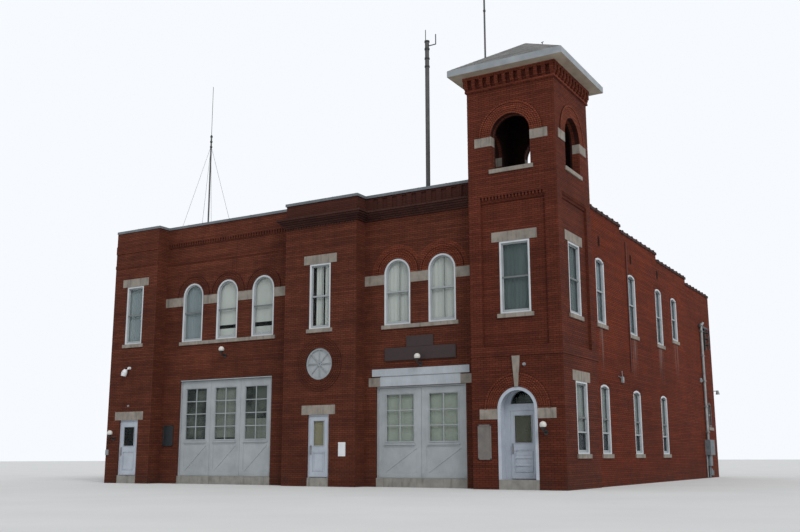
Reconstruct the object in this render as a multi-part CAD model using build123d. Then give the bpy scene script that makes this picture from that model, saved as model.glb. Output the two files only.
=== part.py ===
"""Two-storey brick fire station with a belfry tower, in millimetres.

The street front faces -Y, the left side is a party wall and the tower stands at the
front right corner. The origin is the middle of the footprint at the lowest ground.
"""

from build123d import *

import math
import os
from collections import namedtuple

os.makedirs("parts", exist_ok=True)

# Plan
depth = 21000  # street front to back wall
wall = 330  # brick wall, three leaves thick
left_bay = 2400
left_recess = 6520
central_bay = 3160
right_recess = 4470
tower = 3150  # square on plan
recess = 560  # garage walls behind the face of the bays
side_setback = 100  # hall's side wall behind the tower's side face

# Levels
sill_level = 300  # ground floor and door sills above the lowest ground
upper_level = 4500
floor_thick = 300
belfry_floor = 200
belfry_ceiling = 150
belfry_level = 9900
eaves_level = 13790
coping_top = 10370
coping_thick = 100
coping_lip = 40  # overhang on each side of the wall
roof_thick = 250
roof_front = 9300  # top of the deck at the front wall
roof_back = 8550  # top of the deck at the back wall
side_steps = ((6750, 9670), (11650, 9470), (16500, 9190), (depth, 8930))  # end, coping top

# Doors and windows
upper_sill = 5540
upper_head = 7930
arch_spring = 7370
lower_sill = 1080
lower_head = 3340
segment_rise = 100
reveal = 50  # window frame behind the wall face
frame_width = 60
frame_depth = 90
meeting_rail = 50
pane = 8
bay_window = 920
arched_window = 1060
arched_pitch = 1780
side_window = 920
side_pitch = 3750
first_side_window = 4200
high_window_sill = 5960
end_window_width = 700
end_window_back = 1100  # its middle before the back corner
end_window_sill = 2350
end_window_head = 3450
vent_width = 110  # vent slots high in the side wall
vent_low = 8370
vent_high = 8660
vent_depth = 200
tower_window = 1070
door_head = 2480
left_door_width = 1020
central_door_width = 910
left_garage_width = 4590
left_garage_head = 4010
right_garage_width = 3500
right_garage_head = 3400
tower_door_width = 1360
tower_door_spring = 2490
lining = 40  # boards that line the tower doorway
lining_depth = 450  # tower door leaf behind the wall face
round_radius = 565  # blank round window over the central door
round_level = 4275

# Moving doors
leaf_thick = 45
leaf_gap = 6
door_reveal = 60
door_frame = 60
door_frame_depth = 110
door_stop = 15
knuckle_radius = 8
knuckle_height = 40
pin_radius = 4
pin_clearance = 0.3
hinge_flap = 40
hinge_flap_thick = 3
stile = 130
lock_rail = 200
handle_level = 1250
handle_length = 300
handle_out = 60

# Belfry
belfry_width = 1390
belfry_sill = 10400
belfry_spring = 11560
impost_width = 620
impost_height = 320
impost_depth = 250
corbel_base = 13250
corbel_out = 110
corbel_rib = 130
corbel_count = 12
eaves_out = 500
fascia = 220
board = 25
roof_rise = 1370

# Stone and brick trim
lintel_height = 330
lintel_bearing = 265
sill_height = 135
sill_bearing = 100
sill_out = 50
stone_out = 15
stone_depth = 150
keystone_foot_half = 60
keystone_head_half = 135
band_base = 7010
ring_width = 330
wide_ring = 450
ring_out = 12
hood = 80
hood_out = 30
panel_depth = 90
panel_margin = 430
panel_top = 9480
belt_base = 4150
belt_top = 4470
belt_out = 20
course = 67  # one brick course with its joint

# Garage doors
garage_jamb = 50
garage_thick = 60
leaf_space = 10
muntin = 30
garage_recess = 100  # leaves behind the wall face
garage_rail = 180
brace_width = 90
brace_sunk = 15
garage_block_left = (-2050, -1580)  # stone blocks from the right doorway's middle
garage_block_right = (1560, 1990)
garage_block_height = 310
lower_board_height = 320
upper_board_height = 250
upper_board_half = 1900

# Small pieces
globe = 110
lamp_reach = 250
lamp_arm = 16
lamp_rose = 60
cup_top = 60
cup_height = 60
mast_radius = 80
mast_height = 7370
whip_radius = 22
rod_radius = 32
rod_height = 3600

# Places worked out from the sizes above
front_width = left_bay + left_recess + central_bay + right_recess + tower
x_left = -front_width / 2
x_right = front_width / 2
y_front = -depth / 2
y_back = depth / 2
bay_edge = x_left + left_bay
central_left = bay_edge + left_recess
central_right = central_left + central_bay
tower_left = x_right - tower
hall_right = x_right - side_setback
parapet_top = coping_top - coping_thick
left_bay_mid = (x_left + bay_edge) / 2
left_recess_mid = (bay_edge + central_left) / 2
central_mid = (central_left + central_right) / 2
right_recess_mid = (central_right + tower_left) / 2
tower_mid = tower_left + tower / 2
tower_centre = Pos(tower_mid, y_front + tower / 2)

bay_face = Plane((0, y_front, 0), x_dir=(1, 0, 0), z_dir=(0, -1, 0))
recess_face = bay_face.offset(-recess)
tower_side = Plane((x_right, y_front, 0), x_dir=(0, 1, 0), z_dir=(1, 0, 0))
hall_side = tower_side.offset(-side_setback)
back_face = Plane((0, y_back, 0), x_dir=(-1, 0, 0), z_dir=(0, 1, 0))
belfry_face = Plane((0, -tower / 2, 0), x_dir=(1, 0, 0), z_dir=(0, -1, 0))

Opening = namedtuple("Opening", "u width sill spring rise")


def save(name, *shapes):
    """Write one named piece, made of one or more solids."""
    solids = [solid for shape in shapes for solid in shape.solids()]
    export_step(Compound(children=solids) if len(solids) > 1 else solids[0], f"parts/{name}.step")


def rect(u0, u1, z0, z1):
    """Rectangle between two corners of a drawing."""
    return Pos((u0 + u1) / 2, (z0 + z1) / 2) * Rectangle(abs(u1 - u0), abs(z1 - z0))


def plate(face, drawing, out, back):
    """Extrude a drawing on a wall face, from `out` before the face to `back` behind it."""
    return extrude(face.offset(out) * drawing, amount=-(out + back))


def outline(opening, inset=0, foot=None):
    """Opening with a square, segmental or half-round head, drawn `inset` inside its edge."""
    half = opening.width / 2 - inset
    low = opening.sill + inset if foot is None else foot
    if opening.rise == 0:
        return rect(opening.u - half, opening.u + half, low, opening.spring - inset)
    crown = (0, opening.spring + opening.rise - inset)
    sides = Polyline((half, opening.spring), (half, low), (-half, low), (-half, opening.spring))
    head = ThreePointArc((-half, opening.spring), crown, (half, opening.spring))
    return Pos(opening.u, 0) * make_face(sides.edges() + head.edges())


def half_ring(opening, width):
    """Half-round band of arch bricks over an opening."""
    radius = opening.width / 2
    ring = Circle(radius + width) - Circle(radius)
    reach = radius + width
    return Pos(opening.u, opening.spring) * (ring & rect(-reach, reach, 0, reach))


def arch_ring(face, opening, width):
    """Arch bricks set into the wall, with a raised hood course round their edge."""
    hood_line = opening._replace(width=opening.width + 2 * (width - hood))
    return plate(face, half_ring(opening, width), ring_out, stone_depth) + plate(
        face, half_ring(hood_line, hood), hood_out, 0
    )


def lintel(face, opening):
    """Stone lintel that bears on the wall at each side of the opening."""
    half = opening.width / 2 + lintel_bearing
    drawing = rect(opening.u - half, opening.u + half, opening.spring, opening.spring + lintel_height)
    return plate(face, drawing, stone_out, stone_depth)


def sill(face, first, last=None):
    """Stone sill under one opening, or under a row from the first to the last."""
    last = last or first
    low = first.u - first.width / 2 - sill_bearing
    high = last.u + last.width / 2 + sill_bearing
    return plate(face, rect(low, high, first.sill - sill_height, first.sill), sill_out, stone_depth)


def window(face, opening):
    """Sash window: the frame with its meeting rail, and the glass behind it."""
    inner = outline(opening, frame_width)
    middle = (opening.sill + opening.spring + opening.rise) / 2
    half = opening.width / 2 - frame_width
    rail = rect(opening.u - half, opening.u + half, middle - meeting_rail / 2, middle + meeting_rail / 2)
    glazing = reveal + frame_depth / 2
    frame = plate(face, outline(opening) - inner, -reveal, reveal + frame_depth)
    frame += plate(face, rail, -reveal, glazing)
    glass = plate(face, inner, -glazing, glazing + pane)
    return frame, glass


# Openings, each drawn on its own wall face
left_window = Opening(left_bay_mid, bay_window, upper_sill, upper_head, 0)
central_window = Opening(central_mid, bay_window, upper_sill, upper_head, 0)
tower_front_window = Opening(tower_mid, tower_window, upper_sill, upper_head, 0)
left_arched = [
    Opening(left_recess_mid + step * arched_pitch, arched_window, upper_sill, arch_spring, arched_window / 2)
    for step in (-1, 0, 1)
]
right_arched = [
    Opening(right_recess_mid + step * arched_pitch, arched_window, upper_sill, arch_spring, arched_window / 2)
    for step in (-0.5, 0.5)
]
side_upper_window = Opening(tower / 2, tower_window, upper_sill, upper_head, 0)
side_lower_window = Opening(tower / 2, tower_window, lower_sill, lower_head + 30, 0)
hall_upper = [
    Opening(first_side_window + step * side_pitch, side_window, upper_sill, upper_head - 130, segment_rise)
    for step in range(3)
]
hall_lower = [
    Opening(first_side_window + step * side_pitch, side_window, lower_sill, lower_head, segment_rise)
    for step in range(3)
]
high_window_place = first_side_window + 3 * side_pitch - 1300
hall_high_window = Opening(high_window_place, side_window, high_window_sill, upper_head - 170, segment_rise)
end_window_place = depth - end_window_back
hall_end_window = Opening(end_window_place, end_window_width, end_window_sill, end_window_head, segment_rise)
hall_openings = [*hall_upper, *hall_lower, hall_high_window, hall_end_window]
back_mid = -(x_left + hall_right) / 2
back_openings = [
    Opening(back_mid + step * side_pitch, side_window, low, head, segment_rise)
    for step in range(-2, 3)
    for low, head in ((upper_sill, upper_head - 130), (lower_sill, lower_head))
]
left_door = Opening(left_bay_mid, left_door_width, sill_level, door_head, 0)
central_door = Opening(central_mid, central_door_width, sill_level, door_head, 0)
tower_door = Opening(tower_mid, tower_door_width, sill_level, tower_door_spring, tower_door_width / 2)
left_garage = Opening(left_recess_mid, left_garage_width, sill_level, left_garage_head, 0)
right_garage = Opening(right_recess_mid, right_garage_width, sill_level, right_garage_head, 0)
belfry_arch = Opening(0, belfry_width, belfry_sill, belfry_spring, belfry_width / 2)

# Stone trim
panel_face = bay_face.offset(-panel_depth)
side_panel_face = tower_side.offset(-panel_depth)
flat_headed = [
    (bay_face, left_window),
    (bay_face, left_door),
    (bay_face, central_window),
    (bay_face, central_door),
    (panel_face, tower_front_window),
    (side_panel_face, side_upper_window),
    (tower_side, side_lower_window),
]
lintels = [lintel(face, opening) for face, opening in flat_headed]
street_sills = [
    sill(bay_face, left_window),
    sill(bay_face, central_window),
    sill(recess_face, left_arched[0], left_arched[-1]),
    sill(recess_face, right_arched[0], right_arched[-1]),
    sill(panel_face, tower_front_window),
]
tower_side_sills = [sill(side_panel_face, side_upper_window), sill(tower_side, side_lower_window)]
hall_sills = [sill(hall_side, opening) for opening in hall_openings]
back_sills = [sill(back_face, opening) for opening in back_openings]


def around_tower(shape, turns=(0, 90, 180, 270)):
    """Repeat a piece drawn on the belfry's street face on its other faces."""
    return [tower_centre * Rot(0, 0, turn) * shape for turn in turns]


def imposts(face, opening):
    """Stone blocks at the springing of an arch, showing in the reveal too."""
    blocks = []
    for side in (-1, 1):
        near = opening.u + side * opening.width / 2
        far = near + side * impost_width
        drawing = rect(min(near, far), max(near, far), opening.spring - impost_height, opening.spring)
        blocks.append(plate(face, drawing, stone_out, impost_depth))
    return blocks


belfry_sill_stone = plate(
    belfry_face,
    rect(-belfry_width / 2 - 90, belfry_width / 2 + 90, belfry_sill - sill_height, belfry_sill),
    sill_out,
    wall,
)
belfry_sills = around_tower(belfry_sill_stone)
sills = [*street_sills, *tower_side_sills, *hall_sills, *back_sills, *belfry_sills]
door_imposts = imposts(bay_face, tower_door)
belfry_imposts = [block for half in imposts(belfry_face, belfry_arch) for block in around_tower(half)]

bands = []
for openings, start, end in (
    (left_arched, bay_edge, central_left),
    (right_arched, central_right, tower_left),
):
    drawing = rect(start, end, band_base, arch_spring)
    for opening in openings:
        drawing -= outline(opening)
    bands.append(plate(recess_face, drawing, ring_out, stone_depth))

keystone_foot = tower_door_spring + tower_door_width / 2 + 5
keystone_outline = Polyline(
    (-keystone_foot_half, keystone_foot),
    (keystone_foot_half, keystone_foot),
    (keystone_head_half, belt_base),
    (-keystone_head_half, belt_base),
    close=True,
)
keystone = plate(bay_face, Pos(tower_mid, 0) * make_face(keystone_outline), hood_out + stone_out, stone_depth)
board_base = right_garage_head + 10
lintel_blocks = [
    plate(
        recess_face,
        rect(right_garage.u + low, right_garage.u + high, board_base, board_base + garage_block_height),
        stone_out,
        stone_depth,
    )
    for low, high in (garage_block_left, garage_block_right)
]

# Arch bricks
window_rings = [arch_ring(recess_face, opening, ring_width) for opening in [*left_arched, *right_arched]]
door_ring = arch_ring(bay_face, tower_door, wide_ring) - keystone
belfry_rings = around_tower(arch_ring(belfry_face, belfry_arch, wide_ring))
round_ring_drawing = Pos(central_mid, round_level) * (Circle(round_radius + 410) - Circle(round_radius))
round_ring = plate(bay_face, round_ring_drawing, ring_out, stone_depth)

# Street front walls
door_piers = plate(
    bay_face,
    rect(x_left, bay_edge, 0, door_head)
    - outline(left_door, foot=0)
    + (rect(central_left, central_right, 0, door_head) - outline(central_door, foot=0)),
    0,
    wall,
)
tower_piers = plate(
    bay_face,
    rect(tower_left, x_right, 0, tower_door_spring) - outline(tower_door._replace(rise=0), foot=0),
    0,
    wall,
)
for block in door_imposts:
    tower_piers -= block

left_bay_wall = plate(
    bay_face, rect(x_left, bay_edge, door_head, parapet_top) - outline(left_window), 0, wall
)
central_bay_wall = plate(
    bay_face, rect(central_left, central_right, door_head, parapet_top) - outline(central_window), 0, wall
)
round_recess = 100
central_bay_wall -= plate(bay_face, Pos(central_mid, round_level) * Circle(round_radius), 0, round_recess)
central_bay_wall -= round_ring

bay_returns = [
    Pos(x, y_front + wall + recess / 2, parapet_top / 2) * Box(wall, recess, parapet_top)
    for x in (bay_edge - wall / 2, central_left + wall / 2, central_right - wall / 2)
]

parapet_panels = Sketch()
parapet_panel_count = 10
parapet_panel_width = 200
panels_start = right_recess_mid - (parapet_panel_count - 0.5) * parapet_panel_width
for step in range(parapet_panel_count):
    u = panels_start + 2 * step * parapet_panel_width
    parapet_panels += rect(u, u + parapet_panel_width, parapet_top - 480, parapet_top - 60)

left_garage_wall = plate(recess_face, rect(bay_edge, central_left, 0, parapet_top), 0, wall)
left_garage_wall -= plate(recess_face, outline(left_garage, foot=0), 0, wall)
right_garage_wall = plate(recess_face, rect(central_right, tower_left, 0, parapet_top), 0, wall)
right_garage_wall -= plate(recess_face, outline(right_garage, foot=0), 0, wall)
right_garage_wall -= plate(recess_face, parapet_panels, 0, 40)
for opening in left_arched:
    left_garage_wall -= plate(recess_face, outline(opening), 0, wall)
for opening in right_arched:
    right_garage_wall -= plate(recess_face, outline(opening), 0, wall)

# Timber boards over the right garage doorway
lower_board = plate(
    recess_face,
    rect(
        right_garage.u + garage_block_left[1],
        right_garage.u + garage_block_right[0],
        board_base,
        board_base + lower_board_height,
    ),
    20,
    40,
)
upper_board_base = board_base + lower_board_height + 30
upper_board = plate(
    recess_face,
    rect(
        right_garage.u - upper_board_half,
        right_garage.u + upper_board_half,
        upper_board_base,
        upper_board_base + upper_board_height,
    ),
    40,
    20,
)


def less(body, cutters):
    """Cut pockets in a wall for the pieces built into it."""
    for cutter in cutters:
        body -= cutter
    return body


left_bay_wall = less(left_bay_wall, [lintels[0], lintels[1], street_sills[0]])
central_bay_wall = less(central_bay_wall, [lintels[2], lintels[3], street_sills[1]])
left_garage_wall = less(left_garage_wall, [street_sills[2], bands[0], *window_rings[:3]])
right_garage_wall = less(
    right_garage_wall,
    [street_sills[3], *belfry_sills, bands[1], *window_rings[3:], *lintel_blocks, lower_board, upper_board],
)

# Tower walls below the belfry
panel_drawing = rect(-tower / 2 + panel_margin, tower / 2 - panel_margin, belt_top, panel_top - 200)
ledge_line = rect(-tower / 2 + panel_margin, tower / 2 - panel_margin, panel_top - 200, panel_top - 120)
slot_pitch = (tower - 2 * panel_margin) / 19
slots = Sketch()
for step in range(19):
    u = -tower / 2 + panel_margin + step * slot_pitch
    slots += rect(u, u + slot_pitch / 2, panel_top - 120, panel_top)


def sunk_panel(face, middle):
    """Tall sunk panel under a ledge and a row of dentil slots."""
    deep = plate(face, Pos(middle, 0) * panel_drawing, 0, panel_depth)
    ledge = plate(face, Pos(middle, 0) * ledge_line, 0, panel_depth / 2)
    return deep + ledge + plate(face, Pos(middle, 0) * slots, 0, panel_depth * 0.7)


belt_front = plate(bay_face, rect(tower_left, x_right + belt_out, belt_base, belt_top), belt_out, stone_depth)
belt_return = rect(-belt_out, tower + 200, belt_base, belt_top)
belt_side = plate(tower_side, belt_return, belt_out, side_setback + stone_depth)
belt = belt_front + belt_side - keystone

tower_front_wall = plate(
    bay_face,
    rect(tower_left, x_right, tower_door_spring, belfry_level)
    - outline(tower_front_window)
    - outline(tower_door, foot=sill_level),
    0,
    wall,
)
tower_front_wall -= sunk_panel(bay_face, tower_mid)
tower_front_wall = less(tower_front_wall, [lintels[4], street_sills[4], door_ring, keystone, belt])

tower_right_wall = plate(
    tower_side,
    rect(wall, tower - wall, 0, belfry_level) - outline(side_upper_window) - outline(side_lower_window),
    0,
    wall,
)
tower_right_wall -= sunk_panel(tower_side, tower / 2)
tower_right_wall = less(tower_right_wall, [lintels[5], lintels[6], *tower_side_sills, belt])

tower_back_wall = plate(bay_face, rect(tower_left, x_right, 0, belfry_level), -(tower - wall), tower)
tower_back_wall -= belt
passage_width = 1100
passage_height = 2200
passages = [
    Opening(tower / 2 + 100, passage_width, level, level + passage_height, 0)
    for level in (sill_level, upper_level)
]
left_drawing = rect(wall, tower - wall, 0, belfry_level)
for passage in passages:
    left_drawing -= outline(passage)
tower_left_wall = plate(tower_side, left_drawing, -(tower - wall), tower)

# Belfry walls, open through an arch on each face
arch_cut = outline(belfry_arch, foot=belfry_sill - sill_height)
belfry_end = plate(belfry_face, rect(-tower / 2, tower / 2, belfry_level, eaves_level) - arch_cut, 0, wall)
belfry_side = plate(
    belfry_face, rect(wall - tower / 2, tower / 2 - wall, belfry_level, eaves_level) - arch_cut, 0, wall
)
belfry_inserts = [*belfry_imposts, *belfry_rings, *belfry_sills]
belfry_ends = [less(part, belfry_inserts) for part in around_tower(belfry_end, (0, 180))]
belfry_sides = [less(part, belfry_inserts) for part in around_tower(belfry_side, (90, 270))]

# Corbel table under the eaves: a string, ribs that step out, and a band over them
rib_profile = make_face(
    Polyline(
        (0, corbel_base + course),
        (corbel_out / 3, corbel_base + course),
        (corbel_out / 3, corbel_base + 2 * course),
        (corbel_out * 2 / 3, corbel_base + 2 * course),
        (corbel_out * 2 / 3, corbel_base + 3 * course),
        (corbel_out, corbel_base + 3 * course),
        (corbel_out, eaves_level),
        (0, eaves_level),
        close=True,
    )
)


def square_ring(out, low, high):
    """Band round the tower that stands `out` from its faces."""
    ring = Rectangle(tower + 2 * out, tower + 2 * out) - Rectangle(tower, tower)
    return tower_centre * Pos(0, 0, low) * extrude(ring, amount=high - low)


corbel_table = square_ring(corbel_out, eaves_level - 1.5 * course, eaves_level)
corbel_string = square_ring(corbel_out / 2, corbel_base, corbel_base + course)
rib_pitch = (tower + corbel_out - corbel_rib) / (corbel_count - 1)
for step in range(corbel_count):
    place = (step - (corbel_count - 1) / 2) * rib_pitch
    rib_plane = Plane((place + corbel_rib / 2, -tower / 2, 0), x_dir=(0, -1, 0), z_dir=(-1, 0, 0))
    for rib in around_tower(extrude(rib_plane * rib_profile, amount=corbel_rib)):
        corbel_table += rib
corbel_table += corbel_string

# Hall walls with parapets that step down to the back
def stepped(start):
    """Elevation of a side wall whose top steps down towards the back."""
    drawing = Sketch()
    for end, top in side_steps:
        drawing += rect(start, end, 0, top - coping_thick)
        start = end
    return drawing


right_wall = plate(hall_side, stepped(tower), 0, wall)
for opening in hall_openings:
    right_wall -= plate(hall_side, outline(opening), 0, wall)
for opening in hall_upper:
    slot = rect(opening.u - vent_width / 2, opening.u + vent_width / 2, vent_low, vent_high)
    right_wall -= plate(hall_side, slot, 0, vent_depth)
right_wall = less(right_wall, [*hall_sills, belt])
party_wall = plate(tower_side, stepped(wall), wall - front_width, front_width)
back_top = side_steps[-1][1] - coping_thick
back_wall = plate(
    back_face, rect(wall - hall_right, -wall - x_left, 0, back_top), 0, wall
)
for opening in back_openings:
    back_wall -= plate(back_face, outline(opening), 0, wall)
back_wall = less(back_wall, back_sills)

# Floors and roof deck, on one plan that reaches into the bays and round the tower
hall_plan = rect(x_left + wall, hall_right - wall, y_front + recess + wall, y_back - wall)
hall_plan += rect(x_left + wall, bay_edge - wall, y_front + wall, y_front + recess + wall)
hall_plan += rect(central_left + wall, central_right - wall, y_front + wall, y_front + recess + wall)
hall_plan -= rect(tower_left, x_right, y_front, y_front + tower)
ground_floor = extrude(hall_plan, amount=sill_level)
upper_floor = Pos(0, 0, upper_level - floor_thick) * extrude(hall_plan, amount=floor_thick)
deck_profile = make_face(
    Polyline(
        (0, roof_front - roof_thick),
        (depth, roof_back - roof_thick),
        (depth, roof_back),
        (0, roof_front),
        close=True,
    )
)
roof_deck = plate(tower_side, deck_profile, 0, front_width) & extrude(hall_plan, amount=coping_top)

tower_room = Rectangle(tower - 2 * wall, tower - 2 * wall)
tower_floors = [
    tower_centre * Pos(0, 0, low) * extrude(tower_room, amount=high - low)
    for low, high in (
        (0, sill_level),
        (upper_level - floor_thick, upper_level),
        (belfry_level - belfry_floor, belfry_level),
        (eaves_level - belfry_ceiling, eaves_level),
    )
]
thresholds = [
    plate(face, rect(door.u - door.width / 2, door.u + door.width / 2, 0, sill_level), 0, wall)
    for face, door in (
        (bay_face, left_door),
        (bay_face, central_door),
        (bay_face, tower_door),
        (recess_face, left_garage),
        (recess_face, right_garage),
    )
]

# Copings
lip = coping_lip
coping_plan = rect(x_left, bay_edge + lip, y_front - lip, y_front + wall + lip)
coping_plan += rect(bay_edge - wall - lip, bay_edge + lip, y_front, y_front + recess + wall + lip)
coping_plan += rect(bay_edge, central_left, y_front + recess - lip, y_front + recess + wall + lip)
coping_plan += rect(central_left - lip, central_right + lip, y_front - lip, y_front + wall + lip)
for corner in (central_left - lip, central_right - wall - lip):
    coping_plan += rect(corner, corner + wall + 2 * lip, y_front, y_front + recess + wall + lip)
coping_plan += rect(central_right, tower_left, y_front + recess - lip, y_front + recess + wall + lip)
front_coping = less(Pos(0, 0, parapet_top) * extrude(coping_plan, amount=coping_thick), sills)

side_copings = []
for face, start, outer in (
    (hall_side, tower, coping_lip),
    (tower_side.offset(wall - front_width), wall, coping_lip),
):
    inner = wall + coping_lip if face is hall_side else wall
    for end, top in side_steps:
        over = 0 if end == depth else coping_lip
        stone = plate(face, rect(start, end + over, top - coping_thick, top), outer, inner)
        side_copings.append(stone)
        start = end
back_coping = plate(
    back_face,
    rect(wall + coping_lip - hall_right, -wall - coping_lip - x_left, back_top, back_top + coping_thick),
    coping_lip,
    wall + coping_lip,
)

# Corbelled cornice round the central bay and over the right garage wall
cornice_base = 9400
cornice_steps = (60, 110, 170, 230, 280)


def cornice_course(out, low, high):
    """One course of the cornice, standing `out` from the wall faces."""
    plan = rect(central_left - out, central_right + out, y_front - out, y_front + recess)
    plan -= rect(central_left, central_right, y_front, y_front + recess)
    plan += rect(central_right, tower_left, y_front + recess - out, y_front + recess)
    return Pos(0, 0, low) * extrude(plan, amount=high - low)


cornice = Part()
for number, out in enumerate(cornice_steps):
    low = cornice_base + number * course
    cornice += cornice_course(out, low, low + course)
dentil_count = 26
dentil_pitch = central_bay / dentil_count
for step in range(dentil_count):
    u = central_left + (step + 0.25) * dentil_pitch
    cornice += plate(bay_face, rect(u, u + dentil_pitch / 2, cornice_base - course, cornice_base), 40, 0)

# String courses and the dentil band over the left garage wall
string_base = 8760
string_out = 30
band_low = 9490
band_high = 9720
band_out = 50
band_cap = band_high - 90
dentil_width = 65
dentils_start, dentils_end = bay_edge + 150, central_left - 330
dentil_band = plate(recess_face, rect(dentils_start - 30, dentils_end + 10, band_cap, band_high), band_out, 0)
for step in range(int((dentils_end - dentils_start) / (2 * dentil_width))):
    u = dentils_start + step * 2 * dentil_width
    dentil_band += plate(recess_face, rect(u, u + dentil_width, band_low, band_cap), band_out, 0)
strings = [
    plate(recess_face, rect(bay_edge, central_left, string_base, string_base + 2 * course), string_out, 0),
    plate(bay_face, rect(x_left, bay_edge, string_base, string_base + 2 * course), string_out, 0),
    plate(bay_face, rect(x_left, bay_edge, band_low - 100, band_high), string_out, 0),
]

# Windows
window_frames, window_glass = [], []
for face, openings in (
    (bay_face, [left_window, central_window]),
    (recess_face, [*left_arched, *right_arched]),
    (panel_face, [tower_front_window]),
    (side_panel_face, [side_upper_window]),
    (tower_side, [side_lower_window]),
    (hall_side, hall_openings),
    (back_face, back_openings),
):
    for opening in openings:
        frame, glass = window(face, opening)
        window_frames.append(frame)
        window_glass.append(glass)

# Blank round window: a boarded disc with a rim and eight spokes
spoke_count = 8
spokes = Circle(70)
for step in range(spoke_count):
    spokes += Rot(0, 0, 360 / spoke_count * step) * rect(0, round_radius - 30, -15, 15)
round_place = Pos(central_mid, round_level)
round_rim = Circle(round_radius) - Circle(round_radius - frame_width)
round_window = plate(bay_face, round_place * Circle(round_radius), 35 - round_recess, round_recess)
round_window += plate(bay_face, round_place * round_rim, -20, round_recess)
round_window += plate(bay_face, round_place * spokes, -30, round_recess)
window_frames.append(round_window)

# Garage doors: leaves with panes over a braced panel
def garage_leaf(middle, width, head, glass_width, glass_low, glass_high, rows):
    """One garage door leaf and the sheet of glass behind its muntins."""
    low, high = sill_level, head - garage_jamb - leaf_space
    half = width / 2
    sash = rect(middle - glass_width / 2, middle + glass_width / 2, glass_low, glass_high)
    bars = rect(middle - muntin / 2, middle + muntin / 2, glass_low, glass_high)
    for row in range(1, rows):
        z = glass_low + row * (glass_high - glass_low) / rows
        bars += rect(middle - glass_width / 2, middle + glass_width / 2, z - muntin / 2, z + muntin / 2)
    blank = rect(middle - half, middle + half, low, high) - sash
    glazing = garage_recess + 26
    leaf = plate(recess_face, blank, -garage_recess, garage_recess + garage_thick)
    leaf += plate(recess_face, bars, -garage_recess, glazing)
    sunk_low, sunk_high = low + garage_rail, glass_low - garage_rail
    sunk = rect(middle - half + garage_rail, middle + half - garage_rail, sunk_low, sunk_high)
    run, rise = width - 2 * garage_rail, sunk_high - sunk_low
    brace = Pos(middle, (sunk_low + sunk_high) / 2) * Rot(0, 0, math.degrees(math.atan2(rise, run)))
    brace *= Rectangle(math.hypot(run, rise) * 1.2, brace_width)
    leaf -= plate(recess_face, sunk - brace, -garage_recess, garage_recess + brace_sunk)
    panes = plate(recess_face, sash, -glazing, glazing + pane)
    return leaf, panes


garage_leaves, garage_glass = [], []
for door, count, glass_width, glass_low, glass_high, rows in (
    (left_garage, 3, 1030, 1690, 3650, 4),
    (right_garage, 2, 1070, 1530, 3110, 3),
):
    clear = door.width - 2 * garage_jamb
    width = (clear - (count + 1) * leaf_space) / count
    for index in range(count):
        middle = door.u - clear / 2 + leaf_space + width / 2 + index * (width + leaf_space)
        leaf, panes = garage_leaf(middle, width, door.spring, glass_width, glass_low, glass_high, rows)
        garage_leaves.append(leaf)
        garage_glass.append(panes)
garage_frames = [
    plate(
        recess_face,
        outline(door, foot=sill_level) - outline(door, garage_jamb, foot=sill_level),
        30 - garage_recess,
        garage_recess + garage_thick + 50,
    )
    for door in (left_garage, right_garage)
]

# Hinged doors
Door = namedtuple("Door", "frame leaf glass handle")


def hinged_door(face, middle, clear, head, depth_in, glass_width, glass_low, glass_high):
    """Leaf hinged on its right, with its glass, pull handle and the frame's side of the hinges."""
    low, high = sill_level + leaf_space, head - leaf_gap
    half = clear / 2 - leaf_gap
    light = rect(middle - glass_width / 2, middle + glass_width / 2, glass_low, glass_high)
    blank = rect(middle - half, middle + half, low, high) - light
    leaf = plate(face, blank, -depth_in, depth_in + leaf_thick)
    sunk = rect(middle - half + stile, middle + half - stile, low + lock_rail, glass_low - lock_rail)
    leaf -= plate(face, sunk, -depth_in, depth_in + 12)
    glass = plate(face, light, -(depth_in + 18), depth_in + 18 + pane)
    place = face.offset(-depth_in)
    grip = middle - half + 60
    pull_low, pull_high = handle_level - handle_length / 2, handle_level + handle_length / 2
    pull = plate(place, rect(grip - 22, grip + 22, pull_low - 20, pull_high + 20), 5, 0)
    for z in (pull_low + 20, pull_high - 20):
        pull += plate(place, Pos(grip, z) * Circle(8), handle_out - 15, 0)
    pull += plate(place, rect(grip - 9, grip + 9, pull_low, pull_high), handle_out, 18 - handle_out)
    axis = middle + clear / 2 - leaf_gap / 2
    hinge_face = place.offset(knuckle_radius)
    flap_out = -knuckle_radius + hinge_flap_thick
    leaf_side, frame_side = [], []
    half_knuckle = knuckle_height / 2
    for z in (low + 250, (low + high) / 2, high - 250):
        knuckle = (place * Pos(axis, z, knuckle_radius)) * Rot(-90, 0, 0)
        barrel = Cylinder(knuckle_radius, knuckle_height)
        barrel -= Cylinder(pin_radius + pin_clearance, knuckle_height)
        flap = rect(axis - hinge_flap, axis - leaf_gap / 2, z - half_knuckle, z + half_knuckle)
        web = rect(axis - knuckle_radius, axis - pin_radius - 1, z - half_knuckle, z + half_knuckle)
        leaf_side.append(knuckle * barrel)
        leaf_side.append(plate(place, flap, hinge_flap_thick, 0))
        leaf_side.append(plate(place, web, knuckle_radius, 0))
        frame_side.append(knuckle * Cylinder(pin_radius, knuckle_height * 3 + 4))
        for step in (-1, 1):
            z_end = z + step * (knuckle_height + 1)
            end = (place * Pos(axis, z_end, knuckle_radius)) * Rot(-90, 0, 0)
            foot, top = z_end - half_knuckle, z_end + half_knuckle
            flap = rect(axis + leaf_gap / 2, axis + hinge_flap, foot, top)
            web = rect(axis + pin_radius - 1, axis + knuckle_radius, foot, top)
            frame_side.append(end * Cylinder(knuckle_radius, knuckle_height))
            frame_side.append(plate(place, flap, hinge_flap_thick, 0))
            frame_side.append(plate(place, web, knuckle_radius, 0))
    for piece in leaf_side:
        leaf += piece
    return leaf, glass, pull, frame_side


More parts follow.
